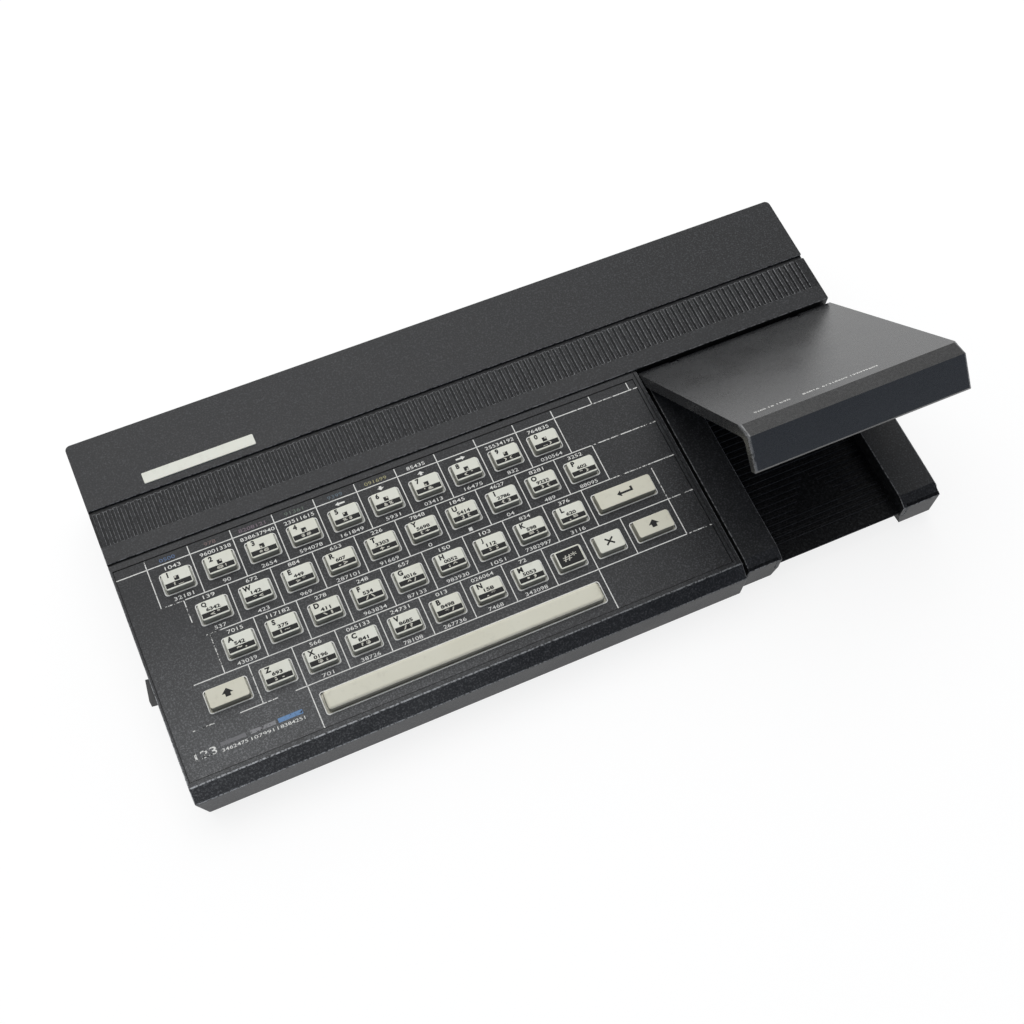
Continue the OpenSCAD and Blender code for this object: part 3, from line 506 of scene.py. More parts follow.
@dataclass(frozen=True)
class PopulatedBoard:
    """Green circuit board with copper tracks, and dark parts over it. Its top is in metres."""

    name: str
    top: float
    solder: float = 0.02
    laminate: Colour = (28, 74, 44)
    tracks: Colour = (58, 112, 66)
    parts: Colour = (34, 34, 36)

    def material(self) -> bpy.types.Material:
        """Build the material.

        Returns:
            The finished material.
        """
        skin = Surface(self.name)
        height = skin.node("ShaderNodeSeparateXYZ", None, {"Vector": skin.place}, "Z")
        above = height > self.top + self.solder * MM
        line = skin.noise(2.6, 1, 0.3)
        track = (line > 0.5) * (line < 0.56)
        board = skin.mix(track, linear(self.laminate), linear(self.tracks))
        skin.set(
            Base_Color=skin.mix(above, board, linear(self.parts)),
            Roughness=0.38 + above * 0.12 + (skin.noise(0.8, 2) - 0.5) * 0.2,
            Normal=skin.bump(track, 0.4, 0.04),
        )
        return skin.material


class Finish(Enum):
    """The finishes of the part, one for each kind of material on it."""

    CASE = GrainedPlastic(
        "case_grained_charcoal", (21, 22, 24), roughness=0.46, relief=0.8, glint_fleck=0.8,
        glint_fleck_colour=(66, 67, 70), specular=0.34, handled_and_lit=(-0.165, -0.09, 0.017))
    DOOR = GrainedPlastic(
        "door_satin_charcoal", (14, 15, 17), roughness=0.28, grain=0.7, relief=0.12, glint_fleck=0.12,
        glint_fleck_colour=(50, 51, 54), rub=0.25, specular=1.0)
    FACEPLATE = GrainedPlastic(
        "faceplate_matt_black", (20, 21, 23), roughness=0.5, grain=0.75, relief=0.7, glint_fleck=0.6,
        glint_fleck_colour=(78, 79, 82), specular=0.34, handled_and_lit=(-0.16, -0.085, 0.02), reach=0.1,
        dulled_and_lit=1.0)
    SOCKET = GrainedPlastic("socket_black", (20, 20, 21), roughness=0.45, relief=0.1, glint_fleck=0.1)
    RUBBER = GrainedPlastic("rubber_black", (24, 24, 24), roughness=0.8, grain=0.9, glint_fleck=0.2)
    DOMES = GrainedPlastic(
        "dome_rubber_grey", (120, 120, 118), roughness=0.7, grain=0.9, relief=0.15, glint_fleck=0.0)
    CLEAR = GrainedPlastic(
        "ribbon_film", (176, 168, 140), roughness=0.3, grain=1.2, relief=0.05, glint_fleck=0.0)
    KEY = KeyPlastic("key_cream", (215, 216, 205), yellowed=(209, 208, 193))
    KEY_WIDE = KeyPlastic("key_cream_darker", (206, 204, 188), yellowed=(199, 196, 177))
    BADGE = KeyPlastic("badge_enamel", (222, 223, 212), yellowed=(216, 217, 204), roughness=0.35)
    INK = PrintedInk("printed_ink", ground=(34, 34, 36))
    STEEL = BareMetal("steel_plated", (178, 178, 180))
    BOARD = PopulatedBoard("board_with_parts", top=10.6 * MM)

    def material(self) -> bpy.types.Material:
        """The finish's material, built the first time that it is asked for."""
        found = bpy.data.materials.get(self.value.name)
        return found or self.value.material()


# --- Where things lie -------------------------------------------------------------------


@dataclass(frozen=True)
class Plane:
    """A tilted face of the part, with its own millimetre frame."""

    matrix: Matrix

    def extent(self, node: str) -> tuple[Vector, Vector]:
        """Corners of a CAD node in this plane's own frame.

        Args:
            node: Name of the CAD node.

        Returns:
            The lowest and highest corner, mm.
        """
        back = self.matrix.inverted()
        places = [back @ v.co for v in FRAME.nodes[node].data.vertices]
        low = Vector(min(p[axis] for p in places) for axis in range(3))
        high = Vector(max(p[axis] for p in places) for axis in range(3))
        return low, high


@dataclass
class Frame:
    """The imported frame, and the planes that are worked out from it.

    The plate's values are the faceplate's left and rear edge, its top and its thickness in the
    deck's own frame. They show where that frame lies, because the faceplate's box is known.
    """

    nodes: dict[str, bpy.types.Object] = field(default_factory=dict)
    joints: dict[str, dict] = field(default_factory=dict)
    deck: Plane = field(init=False)
    door: Plane = field(init=False)
    slope: float = math.radians(8)
    plate_left: float = -14.3
    plate_rear: float = 4.9
    plate_top: float = -0.3
    plate_thickness: float = 1.0
    door_open: float = math.radians(45)

    def load(self) -> None:
        """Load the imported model, and find the deck's and the door's planes in it."""
        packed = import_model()
        self.nodes = packed["nodes"]
        self.joints = {joint["name"]: joint for joint in packed["joints"]}
        low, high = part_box("keyboard_faceplate")
        rise, run = math.sin(self.slope), math.cos(self.slope)
        under = self.plate_top - self.plate_thickness
        origin = Vector((
            low.x - self.plate_left * MM,
            high.y - (self.plate_rear * run - under * rise) * MM,
            high.z - (self.plate_rear * rise + self.plate_top * run) * MM,
        ))
        turn = Matrix.Rotation(self.slope, 4, "X")
        self.deck = Plane(Matrix.Translation(origin) @ turn @ Matrix.Scale(MM, 4))
        hinge = Vector(self.joints["door_hinge"]["pos_m"])
        swing = Matrix.Translation(hinge) @ Matrix.Rotation(-self.door_open, 4, "X")
        self.door = Plane(swing @ Matrix.Translation(-hinge) @ self.deck.matrix)


FRAME = Frame()


# --- Workpieces -------------------------------------------------------------------------


# Millimetres within which two heights are one, and the faces across a block's roundings
NEAR = 1e-4
CORNER_STEPS = 4
EDGE_STEPS = 3


class Workpiece:
    """A mesh in hand, in the millimetres of a plane, before it becomes a piece."""

    def __init__(self) -> None:
        """Start with an empty mesh."""
        self.bm = bmesh.new()

    def block(self, low: Place, high: Place) -> list[bmesh.types.BMVert]:
        """Add a plain block, as a start for other operators.

        Args:
            low: Lowest corner.
            high: Highest corner.

        Returns:
            The block's vertices.
        """
        middle = (Vector(low) + Vector(high)) / 2
        size = Vector(high) - Vector(low)
        place = Matrix.Translation(middle) @ Matrix.Diagonal(size.to_4d())
        made = bmesh.ops.create_cube(self.bm, size=1, matrix=place)
        return made["verts"]

    def round_block(
        self, low: Place, high: Place, corner: float, edge: float, draw: Callable | None = None
    ) -> None:
        """Start the mesh with a block that has round upright corners and a soft top edge.

        Args:
            low: Lowest corner.
            high: Highest corner.
            corner: Radius of the upright corners.
            edge: Width of the bevel round the top.
            draw: Moves a vertex of the plain block, to taper it.
        """

        def on_top(part: bmesh.types.BMFace | bmesh.types.BMEdge) -> bool:
            """Whether an edge or a face lies in the block's top."""
            return all(abs(vert.co.z - high[2]) < NEAR for vert in part.verts)

        for vert in self.block(low, high):
            if draw:
                draw(vert)
        steep = [e for e in self.bm.edges if abs((e.verts[0].co - e.verts[1].co).z) > NEAR]
        bevel(self.bm, steep, corner, CORNER_STEPS)
        rim = [
            e for e in self.bm.edges
            if on_top(e) and sum(on_top(face) for face in e.link_faces) == 1
        ]
        bevel(self.bm, rim, edge, EDGE_STEPS)

    def finish(
        self,
        name: str,
        plane: Plane | None,
        body: str,
        finish: Finish,
        slot: str,
        stands_for: tuple[str, ...] = (),
    ) -> bpy.types.Object:
        """Turn the mesh into a finished piece of the part.

        Args:
            name: The piece's name.
            plane: The plane whose millimetres the mesh is in, or None for the frame's metres.
            body: The body that the piece moves with.
            finish: Its surface.
            slot: A material slot's name, which is not used.
            stands_for: CAD nodes that the piece replaces.

        Returns:
            The piece's object.
        """
        if plane:
            bmesh.ops.transform(self.bm, matrix=plane.matrix, verts=self.bm.verts)
        shade(self.bm)
        mesh = bpy.data.meshes.new(name)
        self.bm.to_mesh(mesh)
        self.bm.free()
        piece = bpy.data.objects.new(name, mesh)
        bpy.context.scene.collection.objects.link(piece)
        mesh.materials.append(finish.material())
        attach(piece, body)
        if stands_for:
            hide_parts(*stands_for)
        log.info("%s: %d faces", name, len(mesh.polygons))
        return piece


def bevel(
    bm: bmesh.types.BMesh, edges: list[bmesh.types.BMEdge], width: float, segments: int
) -> list[bmesh.types.BMFace]:
    """Round edges of a mesh.

    Args:
        bm: The mesh.
        edges: Its edges to round.
        width: Width of the rounding.
        segments: Number of faces across it.

    Returns:
        The new faces.
    """
    made = bmesh.ops.bevel(
        bm, geom=edges, offset=width, offset_type="OFFSET", affect="EDGES", segments=segments,
        profile=0.5, clamp_overlap=False, material=-1,
    )
    return made["faces"]


@dataclass(frozen=True)
class Rounding:
    """Which edges of a copied node are rounded, and how.

    Edges under the shortest length stay sharp, and so does an edge with a neighbour that is
    shorter than the width times the room.
    """

    width: float
    segments: int = 2
    shortest: float = 2.0
    where: Callable[[Vector], bool] = lambda middle: True
    room: float = 2.2


# Millimetres within which vertices are merged, and the angles of flat and of sharp edges
MERGED = 0.002
FLAT = math.radians(0.5)
SHARP = math.radians(30)


def soften(node: str, *roundings: Rounding, plane: Plane | None = None) -> Workpiece:
    """Copy a CAD node, merge its loose triangles and round its outward edges.

    Args:
        node: Name of the CAD node.
        *roundings: The edges to round, one kind after the other.
        plane: The plane that the roundings' places are in, or None for the deck.

    Returns:
        The copy, in the frame's metres.
    """
    work = Workpiece()
    bm = work.bm
    bm.from_mesh(FRAME.nodes[node].data)
    bmesh.ops.remove_doubles(bm, verts=bm.verts, dist=MERGED * MM)
    bmesh.ops.dissolve_limit(bm, angle_limit=FLAT, verts=bm.verts, edges=bm.edges)
    worn = bm.faces.layers.float.new(EDGE_LAYER)
    back = (plane or FRAME.deck).matrix.inverted()
    for rounding in roundings:
        sharp = [
            e for e in bm.edges
            if len(e.link_faces) == 2
            and e.is_convex
            and e.calc_face_angle(0) > SHARP
            and e.calc_length() > rounding.shortest * MM
            and roomy(e, rounding.width * rounding.room * MM)
            and rounding.where(back @ ((e.verts[0].co + e.verts[1].co) / 2))
        ]
        # Mark the rounded faces, which the materials paint pale as wear and a painted highlight
        for face in bevel(bm, sharp, rounding.width * MM, rounding.segments):
            face[worn] = 1.0
    return work


def roomy(edge: bmesh.types.BMEdge, room: float) -> bool:
    """Whether the edges that meet an edge leave room to round it.

    Args:
        edge: The edge.
        room: Length that each of its neighbours needs, m.

    Returns:
        True if all of them are long enough.
    """
    return all(other.calc_length() > room for vert in edge.verts for other in vert.link_edges)


def shade(bm: bmesh.types.BMesh) -> None:
    """Shade flat faces flat, and small faces of round stretches smooth.

    Args:
        bm: The mesh, in metres.
    """
    least, most, largest = math.radians(1), math.radians(46), 60 * MM * MM
    bends = {
        e for e in bm.edges
        if len(e.link_faces) == 2 and least < e.calc_face_angle(0) < most
    }
    for face in bm.faces:
        face.smooth = sum(e in bends for e in face.edges) >= 2 and face.calc_area() < largest
    for edge in bm.edges:
        edge.smooth = edge in bends


# --- Print ------------------------------------------------------------------------------


class Tint(Enum):
    """Inks of the print."""

    WHITE = (226, 226, 222)
    PALE = (134, 134, 136)
    GREY = (112, 112, 114)
    BLUE = (82, 106, 142)
    SKY = (104, 140, 182)
    RED = (110, 92, 90)
    MAGENTA = (112, 98, 108)
    GREEN = (92, 104, 94)
    CYAN = (88, 102, 112)
    YELLOW = (150, 146, 108)
    BLACK = (12, 12, 13)
    CREAM = (196, 194, 182)


class Print(Workpiece):
    """Flat print on a plane: lines, rings and marks, each with its own ink and wear."""

    thickness: float = 0.04
    ring_steps: int = 5
    stamps: dict[str, bpy.types.Mesh] = {}

    def __init__(self, height: float) -> None:
        """Start an empty print.

        Args:
            height: Height of the surface that it lies on, mm in the plane.
        """
        super().__init__()
        self.height = height
        self.tint = self.bm.verts.layers.float_color.new(TINT_LAYER)
        self.wear = self.bm.verts.layers.float.new(WEAR_LAYER)

    def ink(self, start: int, tint: Tint, wear: float) -> None:
        """Give the vertices added since start their ink.

        Args:
            start: Number of vertices before the addition.
            tint: The ink.
            wear: How rubbed it is, 0 to 1.
        """
        self.bm.verts.ensure_lookup_table()
        for index in range(start, len(self.bm.verts)):
            vert = self.bm.verts[index]
            vert[self.tint] = linear(tint.value)
            vert[self.wear] = wear

    def line(
        self, start: Point, end: Point, width: float = 0.45, tint: Tint = Tint.WHITE,
        wear: float = 0.2, lift: float = 0.0,
    ) -> None:
        """Print a straight line.

        Args:
            start: One end, x and y.
            end: The other end.
            width: The line's width.
            tint: Its ink.
            wear: How rubbed it is, 0 to 1.
            lift: Extra height, for print on print.
        """
        count = len(self.bm.verts)
        first, last = Vector(start), Vector(end)
        middle = (first + last) / 2
        run = last - first
        size = Vector((run.length, width, self.thickness, 1))
        turn = Matrix.Rotation(math.atan2(run.y, run.x), 4, "Z")
        rise = self.height + lift
        place = Matrix.Translation((middle.x, middle.y, rise)) @ turn @ Matrix.Diagonal(size)
        bmesh.ops.create_cube(self.bm, size=1, matrix=place)
        self.ink(count, tint, wear)

    def ring(
        self, centre: Point, size: Point, corner: float, width: float, tint: Tint = Tint.WHITE,
        wear: float = 0.15,
    ) -> None:
        """Print a rounded outline.

        Args:
            centre: Its middle, x and y.
            size: Its outer width and depth.
            corner: Outer radius of its corners.
            width: Width of the line.
            tint: Its ink.
            wear: How rubbed it is, 0 to 1.
        """
        count = len(self.bm.verts)
        mesh = self.band(size, corner, width, self.thickness * 2)
        self.bm.from_mesh(mesh)
        self.bm.verts.ensure_lookup_table()
        place = Matrix.Translation((centre[0], centre[1], self.height - self.thickness / 2))
        bmesh.ops.transform(self.bm, matrix=place, verts=self.bm.verts[count:])
        self.ink(count, tint, wear)

    @classmethod
    def band(cls, size: Point, corner: float, width: float, thickness: float) -> bpy.types.Mesh:
        """Cut a flat rounded band.

        Args:
            size: Its outer width and depth.
            corner: Outer radius of its corners.
            width: Width of the band.
            thickness: Its thickness.

        Returns:
            Its mesh, centred, with its underside at 0.
        """
        name = f"band_{size[0]:.2f}_{size[1]:.2f}_{corner}_{width}"
        if name not in cls.stamps:
            bm = bmesh.new()
            half = Matrix.Diagonal((size[0] / 2, size[1] / 2, 1, 1))
            bmesh.ops.create_grid(bm, x_segments=1, y_segments=1, size=1, matrix=half)
            bmesh.ops.bevel(
                bm, geom=bm.verts[:], offset=corner, offset_type="OFFSET", affect="VERTICES",
                segments=cls.ring_steps, profile=0.5, material=-1,
            )
            inner = bm.faces[:]
            bmesh.ops.inset_region(
                bm, faces=inner, thickness=width, use_even_offset=True, use_boundary=True)
            bmesh.ops.delete(bm, geom=inner, context="FACES_ONLY")
            raised = bmesh.ops.extrude_face_region(bm, geom=bm.faces[:], use_keep_orig=True)
            tops = [v for v in raised["geom"] if isinstance(v, bmesh.types.BMVert)]
            bmesh.ops.translate(bm, vec=(0, 0, thickness), verts=tops)
            cls.stamps[name] = bpy.data.meshes.new(name)
            bm.to_mesh(cls.stamps[name])
            bm.free()
        return cls.stamps[name]

    def outline(
        self, points: list[Point], tint: Tint = Tint.WHITE, wear: float = 0.1, lift: float = 0.0
    ) -> None:
        """Print a filled shape.

        Args:
            points: Its corners, anticlockwise.
            tint: Its ink.
            wear: How rubbed it is, 0 to 1.
            lift: Extra height, for print on print.
        """
        count = len(self.bm.verts)
        low = self.height + lift - self.thickness / 2
        verts = [self.bm.verts.new((x, y, low)) for x, y in points]
        face = self.bm.faces.new(verts)
        raised = bmesh.ops.extrude_face_region(self.bm, geom=[face], use_keep_orig=True)["geom"]
        tops = [v for v in raised if isinstance(v, bmesh.types.BMVert)]
        bmesh.ops.translate(self.bm, vec=(0, 0, self.thickness), verts=tops)
        self.ink(count, tint, wear)

    def icon(
        self, icon: "Icon", centre: Point, tint: Tint = Tint.WHITE, wear: float = 0.15
    ) -> None:
        """Print a filled sign.

        Args:
            icon: The sign.
            centre: Its middle, x and y.
            tint: Its ink.
            wear: How rubbed it is, 0 to 1.
        """
        self.outline([(centre[0] + x, centre[1] + y) for x, y in icon.value], tint, wear)

    @classmethod
    def glyph(cls, text: str, weight: float) -> bpy.types.Mesh:
        """Set a text in the plain built-in face.

        Args:
            text: The characters.
            weight: How far the strokes are thickened, in ems.

        Returns:
            Its mesh, one unit tall and centred.
        """
        name = f"glyph_{text}_{weight}"
        if name not in cls.stamps:
            curve = bpy.data.curves.new(name, "FONT")
            curve.body = text
            curve.resolution_u = 3
            curve.extrude = 0.5
            curve.offset = weight
            holder = bpy.data.objects.new(name, curve)
            mesh = bpy.data.meshes.new_from_object(holder)
            bpy.data.objects.remove(holder)
            low = Vector(min(v.co[axis] for v in mesh.vertices) for axis in range(3))
            high = Vector(max(v.co[axis] for v in mesh.vertices) for axis in range(3))
            mesh.transform(Matrix.Translation(-(low + high) / 2))
            mesh.transform(Matrix.Diagonal((1 / (high.y - low.y),) * 2 + (1, 1)))
            cls.stamps[name] = mesh
        return cls.stamps[name]

    def mark(
        self, text: str, centre: Point, height: float, width: float = 0.0,
        tint: Tint = Tint.WHITE, wear: float = 0.1, lift: float = 0.0, weight: float = 0.004,
    ) -> None:
        """Print a short text.

        Args:
            text: The characters.
            centre: Its middle, x and y.
            height: Its height.
            width: Its width, or 0 for its natural one.
            tint: Its ink.
            wear: How rubbed it is, 0 to 1.
            lift: Extra height, for print on print.
            weight: How far the strokes are thickened, in ems.
        """
        count = len(self.bm.verts)
        mesh = self.glyph(text, weight)
        natural = max(v.co.x for v in mesh.vertices) * 2
        across = width / natural if width else height
        place = Matrix.Translation((centre[0], centre[1], self.height + lift))
        place @= Matrix.Diagonal((across, height, self.thickness, 1))
        self.bm.from_mesh(mesh)
        self.bm.verts.ensure_lookup_table()
        bmesh.ops.transform(self.bm, matrix=place, verts=self.bm.verts[count:])
        self.ink(count, tint, wear)


# --- Case -------------------------------------------------------------------------------


@dataclass(frozen=True)
class Region:
    """A box in the deck's frame."""

    low: Place
    high: Place

    def holds(self, place: Vector) -> bool:
        """Whether a place lies inside the box."""
        return all(self.low[axis] < place[axis] < self.high[axis] for axis in range(3))


@dataclass
class Case:
    """The two shells, with the badge and the CAD nodes that keep their shape.

    The ribs run from ribs_start to ribs_end up the deck, and their region takes in the strips
    before and behind them. The shade values give how dark a face is painted in shade, 0 to 1.
    """

    edge: float = 0.35
    rib_edge: float = 0.26
    bay_edge: float = 0.18
    shortest_rib: float = 1.0
    ribs: Region = Region((-math.inf, 17.0, -4.0), (math.inf, 37.5, math.inf))
    ribs_start: float = 17.9
    ribs_end: float = 35.2
    groove: float = -0.1
    groove_shade: float = 0.5
    rib_shade: float = 0.45
    bay: Region = Region((247.0, -103.5, -24.0), (350.5, 12.0, -4.3))
    bay_shade: float = 1.0
    recess: Region = Region((-15.2, -99.0, -3.0), (243.2, 5.8, math.inf))
    badge_low: Place = (12.2, 41.0, -0.3)
    badge_high: Place = (65.5, 46.6, 0.45)
    badge_corner: float = 0.5
    badge_edge: float = 0.15
    fittings: tuple[tuple[Finish, tuple[str, ...]], ...] = (
        (Finish.SOCKET, ("joystick_sockets", "audio_jacks", "video_jacks", "power_jack",
                         "cartridge_connector", "power_switch_body", "power_rocker")),
        (Finish.STEEL, ("screws", "door_hinge_pins", "keyboard_backplate")),
        (Finish.RUBBER, ("rubber_feet",)),
        (Finish.BOARD, ("main_board",)),
        (Finish.DOMES, ("dome_sheet",)),
        (Finish.CLEAR, ("keyboard_ribbon",)),
    )

    def build(self) -> None:
        """Make the shells and the badge, and dress the fittings."""
        self.shells()
        self.badge()
        for finish, nodes in self.fittings:
            for node in nodes:
                dress(node, finish)

    def plain(self, place: Vector) -> bool:
        """Whether a place lies neither among the ribs, nor in the bay or the recess."""
        return not any(region.holds(place) for region in (self.ribs, self.bay, self.recess))

    def shells(self) -> None:
        """Copy both shells with softened edges, finer on the ribs than elsewhere."""
        roundings = (
            Rounding(self.edge, where=self.plain),
            Rounding(self.rib_edge, 1, self.shortest_rib, self.ribs.holds),
            Rounding(self.bay_edge, 1, self.shortest_rib, self.bay.holds),
        )
        for node in ("upper_case", "lower_case"):
            work = soften(node, *roundings)
            self.part_ribs(work.bm)
            self.soil(work.bm)
            work.finish(f"{node}_shell", None, "case", Finish.CASE, "case_plastic", (node,))

    def part_ribs(self, bm: bmesh.types.BMesh) -> None:
        """Cut the deck in front of the ribs, so that their tops are faces of their own.

        Args:
            bm: A softened shell, in metres.
        """
        deck = FRAME.deck.matrix
        back = deck.inverted()
        tops = [f for f in bm.faces if self.ribs.holds(back @ f.calc_center_median())]
        around = dict.fromkeys(part for f in tops for part in (*f.edges, *f.verts))
        bmesh.ops.bisect_plane(
            bm, geom=[*tops, *around], dist=MERGED * MM / 2,
            plane_co=deck @ Vector((0, self.ribs_start, 0)),
            plane_no=deck.to_3x3() @ Vector((0, 1, 0)),
        )

    def soil(self, bm: bmesh.types.BMesh) -> None:
        """Mark the painted shade among the ribs and the painted shadow in the bay under the door.

        Args:
            bm: A softened shell, in metres.
        """
        layer = bm.faces.layers.float.new(SHADE_LAYER)
        rubbed = bm.faces.layers.float[EDGE_LAYER]
        back = FRAME.deck.matrix.inverted()
        for face in bm.faces:
            place = back @ face.calc_center_median()
            if self.ribs.holds(place) and place.y > self.ribs_start and not face[rubbed]:
                # Painted shade in the grooves between the ribs and, lighter, on their tops
                sunk = place.z < self.groove or place.y > self.ribs_end
                face[layer] = self.groove_shade if sunk else self.rib_shade
            elif self.bay.holds(place):
                # Painted shadow in the bay under the open door, with no pale edges there
                face[layer] = 0.0 if face[rubbed] else self.bay_shade
                face[rubbed] = 0.0

    def badge(self) -> None:
        """Make the bare plate on the rear of the deck."""
        work = Workpiece()
        work.round_block(self.badge_low, self.badge_high, self.badge_corner, self.badge_edge)
        work.finish("badge_plate", FRAME.deck, "case", Finish.BADGE, "steel")


def dress(node: str, finish: Finish) -> None:
    """Give a CAD node that keeps its shape its finish.

    Args:
        node: Name of the CAD node.
        finish: Its surface.
    """
    mesh = FRAME.nodes[node].data
    mesh.materials.clear()
    mesh.materials.append(finish.material())
    log.info("%s: dressed in %s", node, finish.value.name)


# --- Keyboard ---------------------------------------------------------------------------


class Icon(Enum):
    """Plain filled signs, as outlines about their own middle, anticlockwise."""

    LEFT = ((-2.4, 0), (-0.6, -1.0), (-0.6, -0.4), (2.2, -0.4), (2.2, 0.4), (-0.6, 0.4),
            (-0.6, 1.0))
    RIGHT = ((2.4, 0), (0.6, 1.0), (0.6, 0.4), (-2.2, 0.4), (-2.2, -0.4), (0.6, -0.4),
             (0.6, -1.0))
    DOWN = ((0, -1.0), (1.7, 0.2), (0.6, 0.2), (0.6, 1.0), (-0.6, 1.0), (-0.6, 0.2), (-1.7, 0.2))
    UP = ((0, 1.0), (-1.7, -0.2), (-0.6, -0.2), (-0.6, -1.0), (0.6, -1.0), (0.6, -0.2),
          (1.7, -0.2))
    RETURN = ((-4.0, 0), (-2.0, -1.6), (-2.0, -0.5), (4.0, -0.5), (4.0, 1.9), (2.9, 1.9),
              (2.9, 0.5), (-2.0, 0.5), (-2.0, 1.6))
    SHIFT = ((0, 2.2), (-2.6, -0.2), (-1.2, -0.2), (-1.2, -1.7), (1.2, -1.7), (1.2, -0.2),
             (2.6, -0.2))


@dataclass(frozen=True)
class Rule:
    """One printed line that runs across the faceplate."""

    y: float
    start: float
    end: float
    wear: float = 0.3


@dataclass(frozen=True)
class Upright:
    """One printed line that runs down the faceplate."""

    x: float
    top: float
    bottom: float
    wear: float = 0.3


@dataclass(frozen=True)
class Bar:
    """One printed colour bar, and both ends of the number under it."""

    left: float
    right: float
    y: float
    width: float
    tint: Tint
    span: Point


@dataclass(frozen=True)
class Header:
    """One small number in coloured ink over the keys."""

    tint: Tint
    digits: int


# The letters and digits of each row of keys, from the rear
ROWS = ("1234567890", "qwertyuiop", "asdfghjkl", "zxcvbnm")


def number(draws: random.Random, digits: int) -> str:
    """Draw a plain number.

    Args:
        draws: Where the digits come from.
        digits: How many digits.

    Returns:
        The digits.
    """
    return "".join(draws.choice("0123456789") for _ in range(digits))


@dataclass
class CapPrint:
    """The print on the caps. Places are measured from the middle of a cap."""

    draws: random.Random
    letter_at: Point = (-3.6, 2.65)
    letter_size: float = 2.6
    letter_weight: float = 0.05
    band: tuple[Point, Point] = ((-5.9, -2.4), (5.8, -2.4))
    band_width: float = 2.35
    band_wear: float = 0.2
    signs: tuple[str, ...] = (
        "!@#$%&'()_", "<*>-+[]{}\"", "~|\\/^;:=.", ";$?/*,.")
    sign_at: Point = (0.0, -2.4)
    sign_size: float = 1.6
    sign_width: float = 4.4
    sign_wear: float = 0.1
    sign_weight: float = 0.03
    number_at: Point = (-0.2, 0.1)
    number_size: float = 1.75
    number_pitch: float = 1.6
    number_weight: float = 0.04
    fewest_digits: int = 3
    block: tuple[Point, Point] = ((-1.3, 0.2), (0.9, 0.2))
    block_width: float = 2.1
    quarter_at: Point = (-0.7, 0.7)
    quarter: float = 0.8
    panel: tuple[Point, Point] = ((-5.6, 0.0), (5.6, 0.0))
    panel_width: float = 7.4
    panel_size: float = 3.4
    panel_sign: float = 6.8
    cross: Point = (1.9, 1.6)
    cross_width: float = 0.8
    cross_lift: float = 0.01
    overprint: float = 0.03

    def make(self, key: str, low: Vector, high: Vector) -> None:
        """Print one cap, unless it is the bare space bar.

        Args:
            key: The key's name.
            low: Lowest corner of its opening.
            high: Highest corner, on the cap's top.
        """
        name = key.removeprefix("key_")
        if name == "space":
            return
        middle = ((low + high) / 2).xy
        sheet = Print(high.z)
        if len(name) == 1:
            self.letter(sheet, name, middle)
        elif name == "symbol":
            self.line(sheet, self.panel, middle, self.panel_width)
            sheet.mark("#*", middle, self.panel_size, self.panel_sign, tint=Tint.CREAM, wear=0,
                       lift=self.overprint)
        elif name == "enter":
            sheet.icon(Icon.RETURN, middle, Tint.BLACK)
        elif name == "break":
            x, y = self.cross
            for way in (-1, 1):
                self.line(sheet, ((-x, -y * way), (x, y * way)), middle, self.cross_width,
                          lift=self.cross_lift * way)
        else:
            sheet.icon(Icon.SHIFT, middle, Tint.BLACK)
        sheet.finish(f"{key}_legend", FRAME.deck, key, Finish.INK, "")

    def line(
        self, sheet: Print, ends: tuple[Point, Point], middle: Vector, width: float,
        tint: Tint = Tint.BLACK, wear: float = 0.0, lift: float = 0.0,
    ) -> None:
        """Print a line on a cap.

        Args:
            sheet: The print.
            ends: Both ends, from the cap's middle.
            middle: The cap's middle.
            width: The line's width.
            tint: Its ink.
            wear: How rubbed it is, 0 to 1.
            lift: Extra height, for print on print.
        """
        start, end = (middle + Vector(place) for place in ends)
        sheet.line(start, end, width, tint=tint, wear=wear, lift=lift)

    def letter(self, sheet: Print, name: str, middle: Vector) -> None:
        """Print a letter's or digit's cap: itself, a band of signs, and a number or a block.

        Args:
            sheet: The print.
            name: The letter or digit.
            middle: The cap's middle.
        """
        row = next(i for i, names in enumerate(ROWS) if name in names)
        column = ROWS[row].index(name)
        sheet.mark(name.upper(), middle + Vector(self.letter_at), self.letter_size,
                   tint=Tint.BLACK, wear=0, weight=self.letter_weight)
        self.line(sheet, self.band, middle, self.band_width, wear=self.band_wear)
        signs = self.signs[row]
        sheet.mark(f"{signs[column]} {signs[column - 1]}", middle + Vector(self.sign_at),
                   self.sign_size, self.sign_width, tint=Tint.CREAM, wear=self.sign_wear,
                   lift=self.overprint, weight=self.sign_weight)
        if row:
            digits = self.fewest_digits + self.draws.randrange(2)
            sheet.mark(number(self.draws, digits), middle + Vector(self.number_at),
                       self.number_size, digits * self.number_pitch, tint=Tint.BLACK, wear=0,
                       weight=self.number_weight)
        else:
            self.line(sheet, self.block, middle, self.block_width)
            x = self.quarter_at[0] + column % 2
            y = self.quarter_at[1] - column // 2 % 2
            half = self.quarter / 2
            self.line(sheet, ((x - half, y), (x + half, y)), middle, self.quarter, Tint.CREAM,
                      lift=self.overprint)


